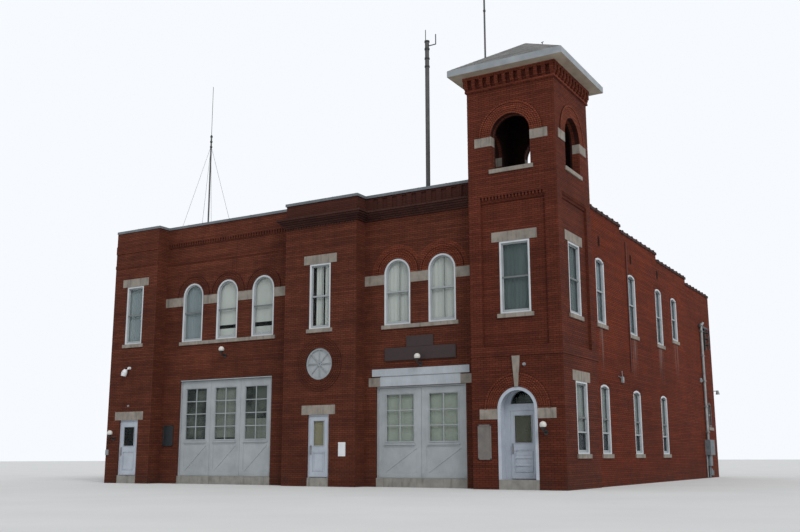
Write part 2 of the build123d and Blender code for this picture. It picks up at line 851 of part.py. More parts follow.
def flat_door(opening, glass_width, glass_low, glass_high):
    """Door in a square-headed opening near the wall face."""
    frame = plate(
        bay_face,
        outline(opening, foot=sill_level) - outline(opening, door_frame, foot=sill_level),
        -door_reveal,
        door_reveal + door_frame_depth,
    )
    stop = outline(opening, foot=sill_level) - outline(opening, door_frame + door_stop, foot=sill_level)
    stop_start = door_reveal + leaf_thick + leaf_gap
    frame += plate(bay_face, stop, -stop_start, door_reveal + door_frame_depth)
    clear = opening.width - 2 * door_frame
    head = opening.spring - door_frame
    leaf, glass, pull, frame_side = hinged_door(
        bay_face, opening.u, clear, head, door_reveal, glass_width, glass_low, glass_high
    )
    for piece in frame_side:
        frame += piece
    return Door(frame, leaf, glass, pull)


left_door_set = flat_door(left_door, 600, 1440, 2220)
central_door_set = flat_door(central_door, 470, 1380, 2280)

tower_clear = 880
tower_leaf_head = 2440
fanlight_sill = 2660
fanlight_radius = 420
lining_drawing = outline(tower_door, foot=sill_level) - outline(tower_door, lining, foot=sill_level)
tower_frame = plate(bay_face, lining_drawing, 0, lining_depth + door_frame_depth)
leaf_hole = rect(tower_mid - tower_clear / 2, tower_mid + tower_clear / 2, sill_level, tower_leaf_head)
stop_hole = rect(
    tower_mid - tower_clear / 2 + door_stop,
    tower_mid + tower_clear / 2 - door_stop,
    sill_level,
    tower_leaf_head - door_stop,
)
fanlight = Circle(fanlight_radius) & rect(-fanlight_radius, fanlight_radius, 0, fanlight_radius)
fanlight = Pos(tower_mid, fanlight_sill) * fanlight
arch_board = outline(tower_door, lining, foot=sill_level) - fanlight
tower_frame += plate(bay_face, arch_board - leaf_hole, -lining_depth, lining_depth + door_frame_depth)
tower_frame += plate(
    bay_face,
    arch_board - stop_hole,
    -(lining_depth + leaf_thick + leaf_gap),
    lining_depth + door_frame_depth,
)
leaf, glass, pull, frame_side = hinged_door(
    bay_face, tower_mid, tower_clear, tower_leaf_head, lining_depth, 610, 1420, 2310
)
for piece in frame_side:
    tower_frame += piece
tower_door_set = Door(tower_frame, leaf, glass, pull)
window_glass.append(plate(bay_face, fanlight, -(lining_depth + 40), lining_depth + 40 + pane))

# Tower roof: boxed eaves and a hollow pyramid
eaves_size = tower + 2 * eaves_out
soffit = extrude(Rectangle(eaves_size, eaves_size) - Rectangle(tower, tower), amount=board)
rim_hollow = eaves_size - 2 * board
rim = extrude(Rectangle(eaves_size, eaves_size) - Rectangle(rim_hollow, rim_hollow), amount=fascia)
tower_eaves = tower_centre * Pos(0, 0, eaves_level) * (soffit + rim)


def pyramid(size, rise):
    """Pyramid that ends in a very small flat, so that its shell stays sound."""
    return loft([Rectangle(size, size), Pos(0, 0, rise) * Rectangle(20, 20)])


roof_shell = pyramid(eaves_size, roof_rise) - Pos(0, 0, -1) * pyramid(eaves_size - 240, roof_rise - 80)
tower_roof = tower_centre * Pos(0, 0, eaves_level + fascia) * roof_shell

# Aerials on the roofs, each foot cut to the slope under it
def aerial(x, y, foot, radius, height):
    """Upright round pole."""
    return Pos(x, y, foot + height / 2) * Cylinder(radius, height)


roof_solid = plate(tower_side, deck_profile, 0, front_width)
mast_x, mast_y = right_recess_mid - 125, y_front + 1500
mast = aerial(mast_x, mast_y, 9000, mast_radius, mast_height) + aerial(mast_x - 60, mast_y, 16300, 15, 520)
mast += Pos(mast_x + 190, mast_y, 16150) * Box(380, 30, 30) + aerial(mast_x + 370, mast_y, 16150, 20, 400)
whip_x, whip_y = bay_edge - 100, y_front + 3000
whip = aerial(whip_x, whip_y, 9000, whip_radius * 1.6, 6200)
whip += aerial(whip_x, whip_y, 15100, whip_radius / 2, 2400)
rod_x, rod_y = tower_left + 500, y_front + 500
pyramid_solid = tower_centre * Pos(0, 0, eaves_level + fascia) * pyramid(eaves_size, roof_rise)
rod = aerial(rod_x, rod_y, eaves_level + 400, rod_radius, rod_height) - pyramid_solid
aerials = [mast - roof_solid, whip - roof_solid, rod]
aerials = [max(pole.solids(), key=lambda solid: solid.bounding_box().max.Z) for pole in aerials]

# Globe lamps, each in a cup on an arm that bends up from the wall
lamp_places = (
    (x_left + 430, y_front, 1970),
    (left_recess_mid, y_front + recess, 5110),
    (right_recess_mid + 40, y_front + recess, 4360),
    (x_right - 630, y_front, 1960),
)
lamp_globes, lamp_brackets = [], []
cup_foot = 15 - globe - cup_height
arm_level = cup_foot - 3 * lamp_arm
for x, y, z in lamp_places:
    centre = Pos(x, y - lamp_reach, z)
    cup = Pos(0, 0, cup_foot + cup_height / 2) * Cone(lamp_arm, cup_top, cup_height)
    arm_path = FilletPolyline((0, lamp_reach, arm_level), (0, 0, arm_level), (0, 0, cup_foot + 1), radius=40)
    arm = sweep(Plane((0, lamp_reach, arm_level), z_dir=(0, -1, 0)) * Circle(lamp_arm), path=arm_path)
    rose = Pos(0, lamp_reach - 8, arm_level) * Rot(90, 0, 0) * Cylinder(lamp_rose, 16)
    lamp_globes.append(centre * (Sphere(globe) - cup))
    lamp_brackets.append(centre * (cup + arm + rose))

# Meter box and pipes on the side wall
meter_y = y_back - 2600
meter_box = Pos(hall_right + 125, meter_y + 500, 1400) * Box(250, 900, 700)
conduit = Pos(hall_right + 70, meter_y + 450, 4525) * Cylinder(60, 5550)
ground_pipe = Pos(hall_right + 60, meter_y + 500, 525) * Cylinder(45, 1050)
conduits = meter_box + conduit + ground_pipe
conduit_y = y_front + first_side_window + side_pitch - side_window / 2 - sill_bearing - 50
wall_conduit = Pos(hall_right + 28, conduit_y, 6600) * Cylinder(28, 5000)

pieces = {
    "ground_floor": [ground_floor],
    "upper_floor": [upper_floor],
    "roof_deck": [roof_deck],
    "tower_floors": tower_floors,
    "thresholds": thresholds,
    "left_bay_wall": [left_bay_wall],
    "central_bay_wall": [central_bay_wall],
    "door_piers": [door_piers],
    "bay_returns": bay_returns,
    "left_garage_wall": [left_garage_wall],
    "right_garage_wall": [right_garage_wall],
    "tower_piers": [tower_piers],
    "tower_front_wall": [tower_front_wall],
    "tower_right_wall": [tower_right_wall],
    "tower_back_wall": [tower_back_wall],
    "tower_left_wall": [tower_left_wall],
    "belfry_end_walls": belfry_ends,
    "belfry_side_walls": belfry_sides,
    "corbel_table": [corbel_table],
    "right_wall": [right_wall],
    "back_wall": [back_wall],
    "party_wall": [party_wall],
    "front_coping": [front_coping],
    "side_copings": side_copings,
    "back_coping": [back_coping],
    "lintels": [*lintels, *lintel_blocks],
    "sills": sills,
    "stone_bands": bands,
    "impost_stones": [*door_imposts, *belfry_imposts, keystone],
    "arch_rings": [*window_rings, door_ring, *belfry_rings, round_ring],
    "tower_belt": [belt],
    "cornice": [cornice],
    "string_courses": [*strings, dentil_band],
    "window_frames": window_frames,
    "window_glass": window_glass,
    "garage_doors": garage_leaves,
    "garage_glass": garage_glass,
    "garage_frames": garage_frames,
    "garage_boards": [lower_board, upper_board],
    "door_frames": [left_door_set.frame, central_door_set.frame, tower_door_set.frame],
    "tower_eaves": [tower_eaves],
    "tower_roof": [tower_roof],
    "aerials": aerials,
    "lamp_globes": lamp_globes,
    "lamp_brackets": lamp_brackets,
    "meter_box": [conduits],
    "wall_conduit": [wall_conduit],
}
for name, door in (("left", left_door_set), ("central", central_door_set), ("tower", tower_door_set)):
    pieces[f"{name}_door_leaf"] = [door.leaf]
    pieces[f"{name}_door_glass"] = [door.glass]
    pieces[f"{name}_door_handle"] = [door.handle]

for name, shapes in pieces.items():
    save(name, *shapes)
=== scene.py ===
import math

import bmesh
import bpy
from mathutils import Matrix, Vector


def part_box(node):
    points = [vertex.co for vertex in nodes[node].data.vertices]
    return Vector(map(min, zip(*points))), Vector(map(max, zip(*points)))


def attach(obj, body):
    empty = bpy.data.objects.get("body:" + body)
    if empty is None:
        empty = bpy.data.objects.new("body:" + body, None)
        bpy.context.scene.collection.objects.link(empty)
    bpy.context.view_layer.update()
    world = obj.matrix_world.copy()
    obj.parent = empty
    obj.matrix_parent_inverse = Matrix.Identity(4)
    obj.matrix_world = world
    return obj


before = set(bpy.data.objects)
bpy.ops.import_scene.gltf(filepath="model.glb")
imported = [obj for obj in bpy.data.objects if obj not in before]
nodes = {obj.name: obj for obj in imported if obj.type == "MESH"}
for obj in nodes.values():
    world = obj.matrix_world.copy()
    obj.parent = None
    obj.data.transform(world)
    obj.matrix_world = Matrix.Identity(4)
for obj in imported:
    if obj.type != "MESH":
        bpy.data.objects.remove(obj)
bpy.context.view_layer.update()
scene = bpy.context.scene
scene.view_settings.view_transform = "Standard"

# Camera: across the street from the tower's corner, at a standing eye's height, looking a
# little up and to the left along the street front.
eye = bpy.data.objects.new("camera", bpy.data.cameras.new("camera"))
eye.data.lens = 42.67
eye.data.sensor_width = 36
eye.data.clip_end = 600
eye.matrix_world = (
    Matrix.Translation((20.3197, -38.2934, 1.03))
    @ Matrix.Rotation(math.radians(30.390), 4, "Z")
    @ Matrix.Rotation(math.radians(90 + 11.341), 4, "X")
    @ Matrix.Rotation(math.radians(-0.131), 4, "Z")
)
scene.collection.objects.link(eye)
scene.camera = eye


# Painted brick walls: common brick in running bond, one course every 67 mm, under several
# coats of dark red masonry paint that has gone chalky and blotched.
class Field:
    """A number, colour or vector that changes over a surface: one output of a finish's nodes."""

    def __init__(self, finish, socket):
        self.finish = finish
        self.socket = socket

    def math(self, operation, first, second=0.0):
        return self.finish.node("Math", {"operation": operation}, {0: first, 1: second})

    def __add__(self, other):
        return self.math("ADD", self, other)

    def __sub__(self, other):
        return self.math("SUBTRACT", self, other)

    def __rsub__(self, other):
        return self.math("SUBTRACT", other, self)

    def __mul__(self, other):
        return self.math("MULTIPLY", self, other)

    def __truediv__(self, other):
        return self.math("DIVIDE", self, other)

    def __abs__(self):
        return self.math("ABSOLUTE", self)

    __radd__ = __add__
    __rmul__ = __mul__

    def floor(self):
        return self.math("FLOOR", self)

    def over(self, low, high):
        """0 below `low`, 1 above `high`, smooth between; the other way round where low > high."""
        settings = {"interpolation_type": "SMOOTHSTEP"}
        inputs = {"Value": self, "From Min": low, "From Max": high}
        return self.finish.node("MapRange", settings, inputs)

    def ramp(self, *stops):
        """A colour for each value; a stop is a place and a colour."""
        return self.finish.node("ValToRGB", {"stops": stops}, {0: self})

    def tones(self, low, high, start=0.3, end=0.7):
        """A colour between two tones, which are as the eye reads them."""
        return self.ramp((start, tone(*low)), (end, tone(*high)))


class Finish:
    """A procedural finish while it is made: one material and its Principled shader."""

    def __init__(self, name, roughness=0.6, metallic=0.0):
        self.material = bpy.data.materials.new(name)
        self.material.use_nodes = True
        self.tree = self.material.node_tree
        self.shader = self.tree.nodes["Principled BSDF"]
        self.shader.inputs["Roughness"].default_value = roughness
        self.shader.inputs["Metallic"].default_value = metallic
        self.place = self.node("TexCoord", output="Object")

    def node(self, kind, settings=None, inputs=None, output=0):
        """Any node, by its type, its settings and what goes into its sockets."""
        made = self.tree.nodes.new("ShaderNode" + kind)
        for key, value in (settings or {}).items():
            if key == "stops":
                ramp = made.color_ramp.elements
                while len(ramp) < len(value):
                    ramp.new(0.5)
                for element, (position, colour) in zip(ramp, value):
                    element.position = position
                    element.color = (*colour, 1)
            else:
                setattr(made, key, value)
        for key, value in (inputs or {}).items():
            self.feed(made.inputs[key], value)
        return Field(self, made.outputs[output])

    def feed(self, socket, value):
        """Link a field to a socket, or set a plain number or colour on it."""
        if isinstance(value, Field):
            self.tree.links.new(value.socket, socket)
        elif isinstance(value, tuple) and len(value) == 3 and socket.type == "RGBA":
            socket.default_value = (*value, 1)
        else:
            socket.default_value = value

    def split(self):
        """The place on the object as x, y and z."""
        return [self.node("SeparateXYZ", {}, {0: self.place}, axis) for axis in range(3)]

    def join(self, x, y):
        return self.node("CombineXYZ", {}, {0: x, 1: y})

    def facing(self, axis, low, high):
        """1 on faces that look along an axis, 0 on the others, smooth between."""
        normal = self.node("NewGeometry", output="Normal")
        return abs(self.node("SeparateXYZ", {}, {0: normal}, axis)).over(low, high)

    def noise(self, scale, detail=3.0, stretch=(1, 1, 1)):
        """Even noise from 0 to 1, `scale` blotches to the metre."""
        place = self.node("Mapping", {}, {"Vector": self.place, "Scale": stretch})
        inputs = {"Vector": place, "Scale": scale, "Detail": detail, "Roughness": 0.55}
        return self.node("TexNoise", {}, inputs)

    def mix(self, amount, below, above, blend="MIX"):
        return self.node("MixRGB", {"blend_type": blend}, {"Fac": amount, "Color1": below, "Color2": above})

    def coat(self, colour, roughness=None):
        """Give the shader its colour, and its roughness where that changes."""
        self.feed(self.shader.inputs["Base Color"], colour)
        if roughness is not None:
            self.feed(self.shader.inputs["Roughness"], roughness)

    def bump(self, height, depth):
        """Relief of `depth` metres where the height goes from 0 to 1."""
        inputs = {"Strength": 1.0, "Distance": depth, "Height": height}
        self.feed(self.shader.inputs["Normal"], self.node("Bump", {}, inputs))


def tone(*levels):
    """A colour as the eye reads it, 0 to 255, in the linear light that the shaders use."""
    return tuple(c / 255 / 12.92 if c < 10 else ((c / 255 + 0.055) / 1.055) ** 2.4 for c in levels)


course = 0.067
stretcher = 0.21
joint = 0.011
brick_proud = 0.004


def brick_finish(name, low, high, streak_places=(), shade_rooms=(), dark_band=()):
    """Masonry paint over brick, with pale streaks below sills, darker parapets, and painted shade inside
    rooms.
    """
    paint = Finish(name, roughness=0.85)
    paint.shader.inputs["Specular IOR Level"].default_value = 0.12
    x, y, z = paint.split()
    along = x + (y - x) * paint.facing(0, 0.45, 0.55)
    bond = {
        "Vector": paint.join(along, z),
        "Color1": (0, 0, 0),
        "Color2": (1, 1, 1),
        "Mortar": (0.5, 0.5, 0.5),
        "Scale": 1.0,
        "Mortar Size": joint / 2,
        "Mortar Smooth": 0.3,
        "Brick Width": stretcher,
        "Row Height": course,
    }
    each = paint.node("TexBrick", {}, bond)
    mortar = paint.node("TexBrick", {}, bond, "Fac")
    blotch = paint.noise(0.55, 5)
    cloud = paint.noise(2.6, 4, (1, 1, 0.6))
    grain = paint.noise(60, 3)
    shade = blotch * 0.45 + cloud * 0.35 + grain * 0.2
    body = shade.tones(low, high)
    own = each.ramp((0.0, (0.72, 0.7, 0.7)), (1.0, (1.0, 0.98, 0.95)))
    body = paint.mix(0.7, body, own, "MULTIPLY")
    row = (z / course).floor()
    bed_place = paint.join(along * 0.3, row * 4.37)
    bed = paint.node("TexNoise", {}, {"Vector": bed_place, "Scale": 1.0, "Detail": 2.0})
    body = paint.mix(1.0, body, bed.ramp((0.38, (0.7, 0.7, 0.72)), (0.62, (1.0, 1.0, 1.0))), "MULTIPLY")
    climb = z.over(-2, 13).ramp((0.0, (0.8, 0.8, 0.8)), (1.0, (1.0, 1.0, 1.0)))
    body = paint.mix(1.0, body, climb, "MULTIPLY")
    body = paint.mix(mortar * 0.9, body, tone(30, 14, 11))
    drip = paint.noise(7, 4, (1, 1, 0.07))
    foot = z.over(0.9, 0.1) * cloud.over(0.35, 0.7)
    body = paint.mix(foot * 0.55, body, tone(54, 38, 32))
    rain = drip.over(0.56, 0.74) * blotch.over(0.45, 0.6)
    body = paint.mix(rain * 0.3, body, tone(50, 25, 20))
    for middle, half, top, bottom in streak_places:
        across = abs(y - middle).over(half, half * 0.3)
        down = z.over(bottom, top - 0.1) * z.over(top + 0.01, top)
        body = paint.mix(across * down * drip.over(0.4, 0.62) * 0.62, body, tone(130, 110, 104))
    flake = paint.noise(9, 5).over(0.66, 0.7)
    body = paint.mix(flake * cloud.over(0.45, 0.6) * 0.6, body, tone(104, 70, 60))
    worn = grain * blotch
    body = paint.mix(worn.over(0.36, 0.5) * 0.35, body, tone(126, 62, 42))
    # Inside a room, such as the belfry, the paint goes near black: painted shade.
    for middle_x, middle_y, half in shade_rooms:
        inside = abs(x - middle_x).over(half + 0.03, half) * abs(y - middle_y).over(half + 0.03, half)
        body = paint.mix(inside * 0.9, body, tone(20, 13, 12))
    for start, end, band_foot, share in dark_band:
        band = x.over(start - 0.02, start) * x.over(end + 0.02, end) * z.over(band_foot - 0.02, band_foot)
        body = paint.mix(band * share, body, tone(58, 34, 31))
    paint.coat(body, 0.75 + cloud * 0.2)
    paint.bump((1 - mortar) * 0.8 + grain * 0.2, 0.006)
    return paint.material


tower_left, tower_mid, flank_mid, cornice_foot = 6.7, 8.275, -8.925, 9.4
hall_mids, hall_end_mid = (-6.3, -2.55, 1.2), 3.65
# The belfry's inside walls are painted near black for the shade in it: painted shade.
shaded_belfry_room = [(tower_mid, flank_mid, 1.3)]
upper_parapet = [(2.24, tower_left, cornice_foot, 0.72), (-0.94, 2.22, 9.6, 0.55)]
street_brick = brick_finish("street_brick_paint", (86, 45, 33), (124, 69, 51), dark_band=upper_parapet)
tower_brick = brick_finish("tower_brick_paint", (83, 41, 30), (124, 63, 46), shade_rooms=shaded_belfry_room)
side_streaks = [(y, 0.45, 5.4, 3.6) for y in hall_mids] + [(hall_end_mid, 0.45, 5.82, 4.02)]
side_brick = brick_finish("side_brick_paint", (92, 40, 22), (136, 59, 34), side_streaks)


def dress(finish, *names):
    """Give CAD nodes their finish."""
    for name in names:
        nodes[name].data.materials.clear()
        nodes[name].data.materials.append(finish)


dress(
    street_brick,
    "left_bay_wall", "central_bay_wall", "door_piers", "bay_returns", "left_garage_wall", "right_garage_wall",
)
dress(
    tower_brick,
    "tower_piers", "tower_front_wall", "tower_right_wall", "tower_back_wall", "tower_left_wall",
    "belfry_end_walls", "belfry_side_walls", "tower_belt",
)
# The corbel table has its own lighter copy of the tower brick paint, which offsets the shade under the eaves:
# painted light.
dress(brick_finish("eaves_brick_painted_light", (104, 52, 39), (152, 79, 58)), "corbel_table")
dress(side_brick, "right_wall")
dress(brick_finish("plain_brick_paint", (92, 40, 22), (136, 59, 34)), "back_wall", "party_wall")


# Bricks: the courses as laid, each brick standing a little before its joints, on the faces
# that are seen from the street and the side.
def hole_span(hole, low, high):
    """Where a hole crosses one course; a hole is its middle, width, foot, springing and rise."""
    middle, width, foot, spring, rise = hole
    if high <= foot or low >= spring + rise:
        return None
    half = width / 2
    off = max(low - spring, foot + half - high if spring - foot == half else 0, 0)
    if rise > half * 0.9 and off > 0:
        half = math.sqrt(max(half**2 - off**2, 0))
    return middle - half, middle + half


def free_runs(start, end, holes, low, high):
    """The stretches of one course that no hole takes."""
    runs = [(start, end)]
    for hole in holes:
        span = hole_span(hole, low, high)
        if span is None:
            continue
        runs = [
            piece
            for a, b in runs
            for piece in ((a, min(b, span[0])), (max(a, span[1]), b))
            if piece[1] > piece[0]
        ]
    return runs


def on_wall(plane, u, out, z):
    """A point on a wall: plane is its axis and place, u runs along it, out stands before it."""
    axis, place, sign = plane
    return Vector((u, place + sign * out, z)) if axis == "y" else Vector((place + sign * out, u, z))


def lay_bricks(name, finish, areas):
    """One piece of bricks; an area is a plane, its start, end, foot and top, and its holes."""
    whole = bmesh.new()
    for plane, start, end, foot, top, holes in areas:
        for row in range(math.floor(foot / course), math.ceil(top / course)):
            low, high = max(row * course + joint / 2, foot), min((row + 1) * course - joint / 2, top)
            if high - low < 0.02:
                continue
            line = bmesh.new()
            shift = stretcher / 2 if row % 2 == 0 else 0
            for a, b in free_runs(start, end, holes, low, high):
                for step in range(math.floor((a + shift) / stretcher), math.ceil((b + shift) / stretcher)):
                    left = step * stretcher - shift
                    right = left + stretcher - joint / 2
                    left = max(left + joint / 2, a)
                    right = min(right, b)
                    if right - left < 0.03:
                        continue
                    thick = 2 * brick_proud
                    size = (right - left, thick) if plane[0] == "y" else (thick, right - left)
                    place = on_wall(plane, (left + right) / 2, 0, (low + high) / 2)
                    shape = Matrix.Translation(place) @ Matrix.Diagonal((*size, high - low, 1))
                    bmesh.ops.create_cube(line, size=1, matrix=shape)
            strip = bpy.data.meshes.new("course")
            line.to_mesh(strip)
            line.free()
            whole.from_mesh(strip)
            bpy.data.meshes.remove(strip)
    add_piece(name, whole, finish)


def add_piece(name, shape, finish, body="building", smooth=False):
    """Make a piece of a bmesh, with its finish and the body it rides on."""
    mesh = bpy.data.meshes.new(name)
    shape.to_mesh(mesh)
    shape.free()
    mesh.materials.append(finish)
    for face in mesh.polygons:
        face.use_smooth = smooth
    piece = bpy.data.objects.new(name, mesh)
    scene.collection.objects.link(piece)
    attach(piece, body)


# The walls' edges and levels, as the courses need them.
x_left, bay_edge, central_left, central_right, x_right = -9.85, -7.45, -0.93, 2.23, 9.85
y_front, y_recess, tower_back, y_back, x_hall = -10.5, -9.94, -7.35, 10.5, 9.75
parapet, belt_foot, belt_top, eaves_foot = 10.27, 4.15, 4.47, 13.25
hall_steps = ((tower_back, -3.75, 9.57), (-3.75, 1.15, 9.37), (1.15, 6.0, 9.09), (6.0, y_back, 8.83))
street, recess = ("y", y_front, -1), ("y", y_recess, -1)
tower_flank, hall_flank = ("x", x_right, 1), ("x", x_hall, 1)

# Openings that the courses leave: doors, belfry arches, the round window, vent slots and windows.
# A window is its plane, middle, width, foot, springing and rise.
left_bay_mid, left_garage_mid, central_mid, right_garage_mid = -8.65, -4.19, 0.65, 4.465
door_head, door_spring, door_radius = 2.48, 2.49, 0.68
belfry_sill, belfry_spring, belfry_radius = 10.4, 11.56, 0.695
round_level = 4.275
vent_foot, vent_head, vent_half = 8.37, 8.66, 0.055
upper_sill, upper_lintel, lower_sill, lower_lintel = 5.54, 7.93, 1.08, 3.37
arch_step, arch_spring, arch_radius, plain_wide, tower_wide = 1.78, 7.37, 0.53, 0.92, 1.07
tower_panel_plane, flank_panel_plane = ("y", -10.41, -1), ("x", 9.76, 1)
left_middles = [left_garage_mid + step * arch_step for step in (-1, 0, 1)]
right_middles = [right_garage_mid + step * arch_step for step in (-0.5, 0.5)]
arched_shape = (2 * arch_radius, upper_sill, arch_spring, arch_radius)
left_trio = [(recess, middle, *arched_shape) for middle in left_middles]
right_pair = [(recess, middle, *arched_shape) for middle in right_middles]
left_bay_window = (street, left_bay_mid, plain_wide, upper_sill, upper_lintel, 0)
central_window = (street, central_mid, plain_wide, upper_sill, upper_lintel, 0)
tower_window = (tower_panel_plane, tower_mid, tower_wide, upper_sill, upper_lintel, 0)
flank_window = (flank_panel_plane, flank_mid, tower_wide, upper_sill, upper_lintel, 0)
flank_low_window = (tower_flank, flank_mid, tower_wide, lower_sill, lower_lintel, 0)
hall_high = [(hall_flank, y, plain_wide, upper_sill, 7.8, 0.1) for y in hall_mids]
hall_low = [(hall_flank, y, plain_wide, lower_sill, 3.34, 0.1) for y in hall_mids]
hall_end = (hall_flank, hall_end_mid, plain_wide, 5.96, 7.76, 0.1)
back_corner_window = (hall_flank, 9.4, 0.7, 2.35, 3.45, 0.1)
hall_windows = [*hall_high, *hall_low, hall_end, back_corner_window]


# Holes in the courses: a hole with its lintel, sill or band is one upright gap.
def gaps(middle, *spans):
    """Upright gaps about one middle; a span is a width, a foot and a top."""
    return [(middle, *span, 0) for span in spans]


def window_holes(window):
    """The gaps for a window, its sill and its lintel; an arched one has only its own."""
    _, u, wide, foot, spring, rise = window
    if rise == arch_radius:
        return [(u, wide, foot, spring, rise)]
    lintel = [] if rise else [(wide + 0.53, spring, spring + 0.33)]
    return gaps(u, (wide + 0.2, foot - 0.135, foot), (wide, foot, spring + rise), *lintel)


def door_holes(middle, wide):
    """The gaps for a door and its lintel."""
    return gaps(middle, (wide, 0, door_head), (wide + 0.53, door_head, door_head + 0.33))


left_bay_holes = window_holes(left_bay_window) + door_holes(left_bay_mid, 1.02)
central_holes = window_holes(central_window) + door_holes(central_mid, 0.91)
central_holes += [(central_mid, 1.95, 3.3, round_level, 0.975)]
left_garage_holes = gaps(
    left_garage_mid, (4.59, 0, 4.01), (4.82, 5.405, upper_sill), (6.52, 7.01, arch_spring),
)
right_garage_holes = gaps(right_garage_mid - 0.03, (4.04, 3.41, 3.73)) + gaps(
    right_garage_mid, (3.5, 0, 3.41), (3.8, 3.76, 4.01), (3.04, 5.405, upper_sill), (4.47, 7.01, arch_spring),
)
for holes, windows in ((left_garage_holes, left_trio), (right_garage_holes, right_pair)):
    for window in windows:
        holes += window_holes(window)
tower_door_holes = gaps(tower_mid, (2.6, 2.17, door_spring))
tower_door_holes += [(tower_mid, 2 * door_radius, 0, door_spring, door_radius)]
across_holes, flank_holes = (
    [(middle, 2 * belfry_radius, belfry_sill, belfry_spring, belfry_radius)]
    + gaps(middle, (1.57, 10.265, belfry_sill), (2.63, 11.24, belfry_spring))
    for middle in (tower_mid, flank_mid)
)
hall_holes = [(y, 2 * vent_half, vent_foot, vent_head, 0) for y in hall_mids]
for window in hall_windows:
    hall_holes += window_holes(window)

lay_bricks("front_bricks", street_brick, [
    (street, x_left, bay_edge, 0, parapet, left_bay_holes),
    (street, central_left, central_right, 0, 9.33, central_holes),
    (recess, bay_edge, central_left, 0, parapet, left_garage_holes),
    (recess, central_right, tower_left, 0, cornice_foot, right_garage_holes),
    (("x", bay_edge, 1), y_front, y_recess, 0, parapet, ()),
    (("x", central_left, -1), y_front, y_recess, 0, cornice_foot, ()),
    (("x", central_right, 1), y_front, y_recess, 0, cornice_foot, ()),
])
front_panel_holes = across_holes + gaps(tower_mid, (2.29, belt_top, 9.48))
flank_panel_holes = flank_holes + gaps(flank_mid, (2.29, belt_top, 9.48))
lay_bricks("tower_bricks", tower_brick, [
    (street, tower_left, x_right, 0, belt_foot, tower_door_holes),
    (street, tower_left, x_right, belt_top, eaves_foot, front_panel_holes),
    (tower_panel_plane, 7.13, 9.42, belt_top, 9.28, window_holes(tower_window)),
    (tower_flank, y_front, tower_back, 0, belt_foot, window_holes(flank_low_window)),
    (tower_flank, y_front, tower_back, belt_top, eaves_foot, flank_panel_holes),
    (flank_panel_plane, -10.07, -7.78, belt_top, 9.28, window_holes(flank_window)),
    (("x", tower_left, -1), y_front, y_recess, 0, cornice_foot, ()),
    (("x", tower_left, -1), y_front, tower_back, 10.37, eaves_foot, flank_holes),
    (("y", tower_back, 1), tower_left, x_right, 9.9, eaves_foot, across_holes),
])
side_areas = [(hall_flank, start, end, 0, top, hall_holes) for start, end, top in hall_steps]
lay_bricks("side_bricks", side_brick, side_areas)


# Arches: rings of brick ends round each round head, with a raised hood ring outside them, and
# two rings over the flatter side windows, cut to the curve.
def voussoirs(shape, plane, middle, spring, radius, rings, thick, start, end, out, ring_deep=0.108):
    """Rings of brick ends from one angle to another, outward from the opening's radius."""
    for ring in range(rings):
        inner = radius + ring * ring_deep
        reach = inner + ring_deep / 2
        swept = math.radians(end - start)
        count = max(round(inner * swept / 0.073), 3)
        wide = swept * reach / count - 0.012
        for step in range(count):
            angle = math.radians(start) + (step + 0.5) * swept / count
            centre = on_wall(plane, middle + reach * math.cos(angle), out, spring + reach * math.sin(angle))
            if plane[0] == "y":
                turn = Matrix.Rotation(-angle, 4, "Y")
                size = (ring_deep - 0.014, thick, wide, 1)
            else:
                turn = Matrix.Rotation(angle, 4, "X")
                size = (thick, ring_deep - 0.014, wide, 1)
            place = Matrix.Translation(centre) @ turn @ Matrix.Diagonal(size)
            bmesh.ops.create_cube(shape, size=1, matrix=place)


arch_brick = brick_finish("arch_brick_paint", (112, 56, 39), (150, 80, 58))
dress(brick_finish("arch_joint_paint", (46, 23, 18), (62, 31, 24)), "arch_rings")
dress(brick_finish("trim_brick_paint", (84, 43, 31), (118, 63, 46)), "string_courses")
hood, hood_out, ring_out, end_thick = 0.08, 0.03, 0.014, 0.014
over_window = (arch_spring, arch_radius, 0.25, 3)
over_door = (door_spring, door_radius, 0.37, 5)
over_belfry = (belfry_spring, belfry_radius, 0.37, 5)
for name, finish, middles, plane, (spring, radius, deep, rings) in (
    ("left_window_arch_bricks", street_brick, left_middles, recess, over_window),
    ("right_window_arch_bricks", arch_brick, right_middles, recess, over_window),
    ("door_arch_bricks", arch_brick, [tower_mid], street, over_door),
    ("belfry_front_arch_bricks", arch_brick, [tower_mid], street, over_belfry),
    ("belfry_back_arch_bricks", arch_brick, [tower_mid], ("y", tower_back, 1), over_belfry),
    ("belfry_right_arch_bricks", arch_brick, [flank_mid], tower_flank, over_belfry),
    ("belfry_left_arch_bricks", arch_brick, [flank_mid], ("x", tower_left, -1), over_belfry),
):
    arch = bmesh.new()
    for middle in middles:
        voussoirs(arch, plane, middle, spring, radius, rings, end_thick, 0, 180, ring_out, deep / rings)
        voussoirs(arch, plane, middle, spring, radius + deep, 1, end_thick, 0, 180, hood_out, hood)
    add_piece(name, arch, finish)
outer_rings = bmesh.new()
for middle, first, last in ((right_middles[0], 26, 180), (right_middles[1], 0, 154)):
    voussoirs(outer_rings, recess, middle, 7.375, 0.87, 2, 0.008, first, last, 0.003, hood)
add_piece("right_window_outer_rings", outer_rings, arch_brick)
round_arch = bmesh.new()
voussoirs(round_arch, street, central_mid, round_level, 0.565, 5, end_thick, 0, 360, ring_out, 0.082)
add_piece("round_window_bricks", round_arch, street_brick)
shallow_arches = bmesh.new()
for _, y, wide, _, spring, rise in hall_windows:
    curve = (wide**2 / 4 + rise**2) / (2 * rise)
    lean = math.degrees(math.asin(wide / 2 / curve)) + 4
    centre = spring + rise - curve
    voussoirs(shallow_arches, hall_flank, y, centre, curve, 2, 0.012, 90 - lean, 90 + lean, 0.003)
add_piece("side_window_arch_bricks", shallow_arches, side_brick)


